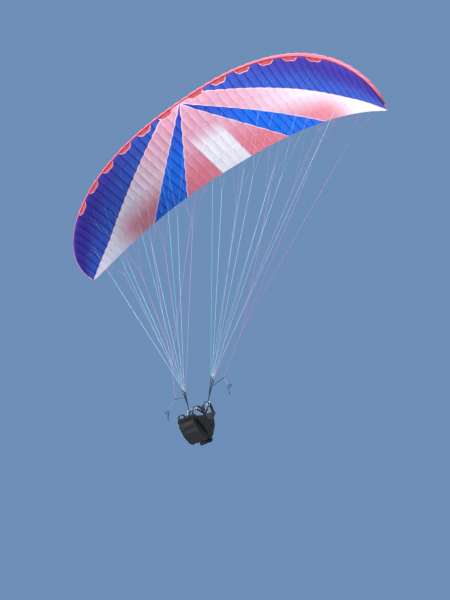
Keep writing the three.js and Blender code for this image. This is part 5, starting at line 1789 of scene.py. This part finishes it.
def shoulderParts():
    # a padded strap over the shoulder with a webbing sewn along it, which leaves it for the main webbing
    path = smoothPath(shoulder["path"], 8)
    share = np.linspace(0, 1, len(path))
    wide = 1 - 0.3 * smoothStep(share, 0.75, 1) - 0.1 * (1 - smoothStep(share, 0, 0.08))
    thick = 1 + 0.06 * np.sin(share * 2 * np.pi * 9) - 0.25 * smoothStep(share, 0.9, 1)
    pad = sweepPart(path, bandProfile(shoulder["width"], shoulder["thickness"], 4), shoulder["across"],
                    scale=np.stack([wide, thick], -1))
    along = unit(np.gradient(path, axis=0))
    out = unit(np.cross(along, np.array(shoulder["across"])))
    lift = shoulder["thickness"] / 2 + 0.0008
    band = sweepPart(path + lift * out, bandProfile(shoulder["band"], 0.0022), shoulder["across"])
    threads = stitchRows(path, shoulder["across"], (-0.0105, 0.0105), (lift + 0.0014,))
    padded = path[: int(0.78 * len(path))]
    threads += stitchRows(padded, shoulder["across"], (-0.019, 0.019), (lift - 0.0012,))
    at = int(shoulder["buckleAt"] * len(path))
    axes = (unit(np.array(shoulder["across"])), -along[at])
    centre = path[at] + (lift + 0.0028) * out[at]
    buckle = ringPart(roundedBox(*shoulder["buckle"]), 0.0019, axes, centre, sides=10)
    bar = rodsPart(centre - 0.016 * axes[0], centre + 0.016 * axes[0], 0.0018, 10)
    return pad, band, joinParts(threads), joinParts([buckle, bar])


legStrap = {
    "path": ((0.15, -0.2168, -0.444), (0.151, -0.2168, -0.426), (0.153, -0.229, -0.375),
             (0.155, -0.223, -0.305), (0.16, -0.13, -0.23), (0.1804, -0.006, -0.19)),
    "width": 0.04, "thickness": 0.003, "buckle": (0.027, 0.018, 0.006), "buckleAt": 0.5,
    "tongue": ((-0.013, -0.03), (0.013, -0.03), (0.009, 0.014), (-0.009, 0.014)),
}


def legStrapParts():
    # webbing from the seat's front edge up and back to the main webbing, closed by a steel buckle
    path = smoothPath(legStrap["path"], 8)
    band = sweepPart(path, bandProfile(legStrap["width"], legStrap["thickness"]), (1, 0, 0))
    along = unit(np.gradient(path, axis=0))
    out = unit(np.cross(along, (1, 0, 0)))
    threads = stitchRows(path, (1, 0, 0), (-0.0165, 0.0165), (legStrap["thickness"] / 2 + 0.0001,))
    at = int(legStrap["buckleAt"] * len(path))
    centre = path[at] + 0.004 * out[at]
    axes = (np.array([1.0, 0, 0]), -along[at])
    buckle = [
        ringPart(roundedBox(*legStrap["buckle"]), 0.0026, axes, centre, sides=10),
        platePart(roundCorners(legStrap["tongue"], radius=0.004), 0.0022, axes, centre + 0.0008 * out[at]),
        rodsPart(centre - (0.026, 0, 0), centre + (0.026, 0, 0), 0.0022, 10),
    ]
    return band, joinParts(threads), joinParts(buckle)


# the path is the half with x above 0, from the middle out
chest = {
    "path": ((0, -0.072, -0.04), (0.06, -0.072, -0.04), (0.12, -0.0585, -0.04), (0.15, -0.0526, -0.04)),
    "width": 0.028, "buckle": (0.027, 0.019, 0.007),
    "tongue": ((-0.02, -0.011), (0.016, -0.011), (0.022, 0), (0.016, 0.011), (-0.02, 0.011)),
}


def chestParts():
    # a webbing across the chest and its flat steel buckle: frame, tongue and middle bar
    half = np.array(chest["path"])
    path = smoothPath(np.concatenate([half[:0:-1] * (-1, 1, 1), half]), 6)
    band = sweepPart(path, bandProfile(chest["width"], 0.003), (0, 0, 1))
    threads = stitchRows(path, (0, 0, 1), (-0.011, 0.011), (0.0016,))
    place = half[0] - (0, 0.0068, 0)
    tongue = roundCorners(chest["tongue"], radius=0.003)
    buckle = [
        ringPart(roundedBox(*chest["buckle"]), 0.003, shift=place),
        platePart(tongue, 0.003, shift=place - (0, 0.0012, 0)),
        rodsPart(place - (0.004, 0, 0.019), place + (-0.004, 0, 0.019), 0.0024, 12),
    ]
    return band, joinParts(threads), joinParts(buckle)


for word in sides:
    wall, binding, threads = sidePanelParts()
    wall = addSided(word, "sideWall", hung(wall), "harness", "harness", "side_panel")
    addSided(word, "sideBinding", hung(binding), "webbing", "harness")
    strap, mainThreads = mainWebbingParts()
    addSided(word, "mainStrap", hung(strap), "webbing", "harness", "main_webbing")
    pad, band, shoulderThreads, buckle = shoulderParts()
    addSided(word, "shoulderPad", hung(pad), "harness", "harness", "shoulder_strap")
    addSided(word, "shoulderWebbing", hung(band), "webbing", "harness")
    addSided(word, "shoulderBuckle", hung(buckle), "brushed", "harness")
    band, legThreads, buckle = legStrapParts()
    addSided(word, "legWebbing", hung(band), "webbing", "harness", "leg_strap")
    addSided(word, "legBuckle", hung(buckle), "brushed", "harness")
    allThreads = joinParts([threads, mainThreads, shoulderThreads, legThreads])
    addSided(word, "harnessStitching", hung(allThreads), "thread", "harness")
loop, tab, threads = handleParts()
addPiece("reserveHandle", hung(loop), finishes["handle"], "harness", ["reserve_handle"])
addPiece("reserveTab", hung(tab), finishes["webbing"], "harness")
addPiece("reserveStitching", hung(threads), finishes["thread"], "harness")
band, threads, buckle = chestParts()
addPiece("chestWebbing", hung(band), finishes["webbing"], "harness", ["chest_strap"])
addPiece("chestClasp", hung(buckle), finishes["brushed"], "harness", ["chest_buckle"])
addPiece("chestStitching", hung(threads), finishes["thread"], "harness")
print("harness ready")


# Floor, light and camera

studio = {
    "floorZ": -15.3, "floorHalf": 300.0, "skyFill": (0.68, 0.84, 1.08), "skyStrength": 0.36,
    "camera": (6.4298, -8.7157, -15.0648), "cameraTurn": (2.2595, 0.04579, 0.63304), "lens": 40.4153,
    "sensor": 36.0, "farEnd": 1000,
}
# place, what it points at, size, power, spread in degrees, colour
lights = {
    "keyLight": ((-17, -12, -11), (4, 0, -1), 5, 1650, 80, (1.0, 0.98, 0.96)),
    "noseLight": ((14, -12, 7), (1, 0, -1), 7, 1500, 90, (1, 1, 1)),
    "overheadLight": ((0, 5, 18), (0, 0, 0), 22, 3400, 150, (0.97, 0.98, 1.0)),
}


def addFloor():
    # one wide square, of a finish whose roughness follows a soft noise
    half = studio["floorHalf"]
    corners = np.array([[-half, -half], [half, -half], [half, half], [-half, half]])
    points = np.column_stack([corners, np.full(4, studio["floorZ"])])
    part = {"points": points, "faces": [np.array([[0, 1, 2, 3]])], "uv": corners}

    def build(tree):
        grain = noise(tree, readObject(tree), 1.5, 4.0)
        return {"roughness": remap(tree, grain, 0.3, 0.7, 0.7, 0.85)}

    floor = addMesh("studioFloor", part, surface("studioFloor", colours["floor"], 0.8, build=build))


def addSky():
    # the camera sees the sky's own colour, and the fill lights the object
    world = bpy.data.worlds.new("studio")
    bpy.context.scene.world = world
    world.use_nodes = True
    tree = world.node_tree
    background = tree.nodes["Background"]
    ray = addNode(tree, "ShaderNodeLightPath")
    seen = tuple(c / studio["skyStrength"] for c in colours["sky"])
    shade = mixColour(tree, ray.outputs["Is Camera Ray"], studio["skyFill"], seen)
    tree.links.new(shade, background.inputs[0])
    background.inputs[1].default_value = studio["skyStrength"]


def addLight(name, place, target, size, power, spread, colour):
    # a disk that points at its target
    data = bpy.data.lights.new(name, "AREA")
    data.shape, data.size, data.energy, data.color = "DISK", size, power, colour
    data.spread = np.radians(spread)
    lamp = bpy.data.objects.new(name, data)
    lamp.location = place
    bpy.context.scene.collection.objects.link(lamp)
    lamp.rotation_euler = (Vector(target) - Vector(place)).to_track_quat("-Z", "Y").to_euler()


def addCamera():
    # from below and ahead of the wing, to its left
    data = bpy.data.cameras.new("photoView")
    data.sensor_width, data.lens, data.clip_end = studio["sensor"], studio["lens"], studio["farEnd"]
    camera = bpy.data.objects.new("photoView", data)
    camera.location, camera.rotation_euler = studio["camera"], studio["cameraTurn"]
    bpy.context.scene.collection.objects.link(camera)
    bpy.context.scene.camera = camera


bpy.context.scene.view_settings.view_transform = "Standard"
addFloor()
addSky()
for name, settings in lights.items():
    addLight(name, *settings)
addCamera()
print("stage ready")
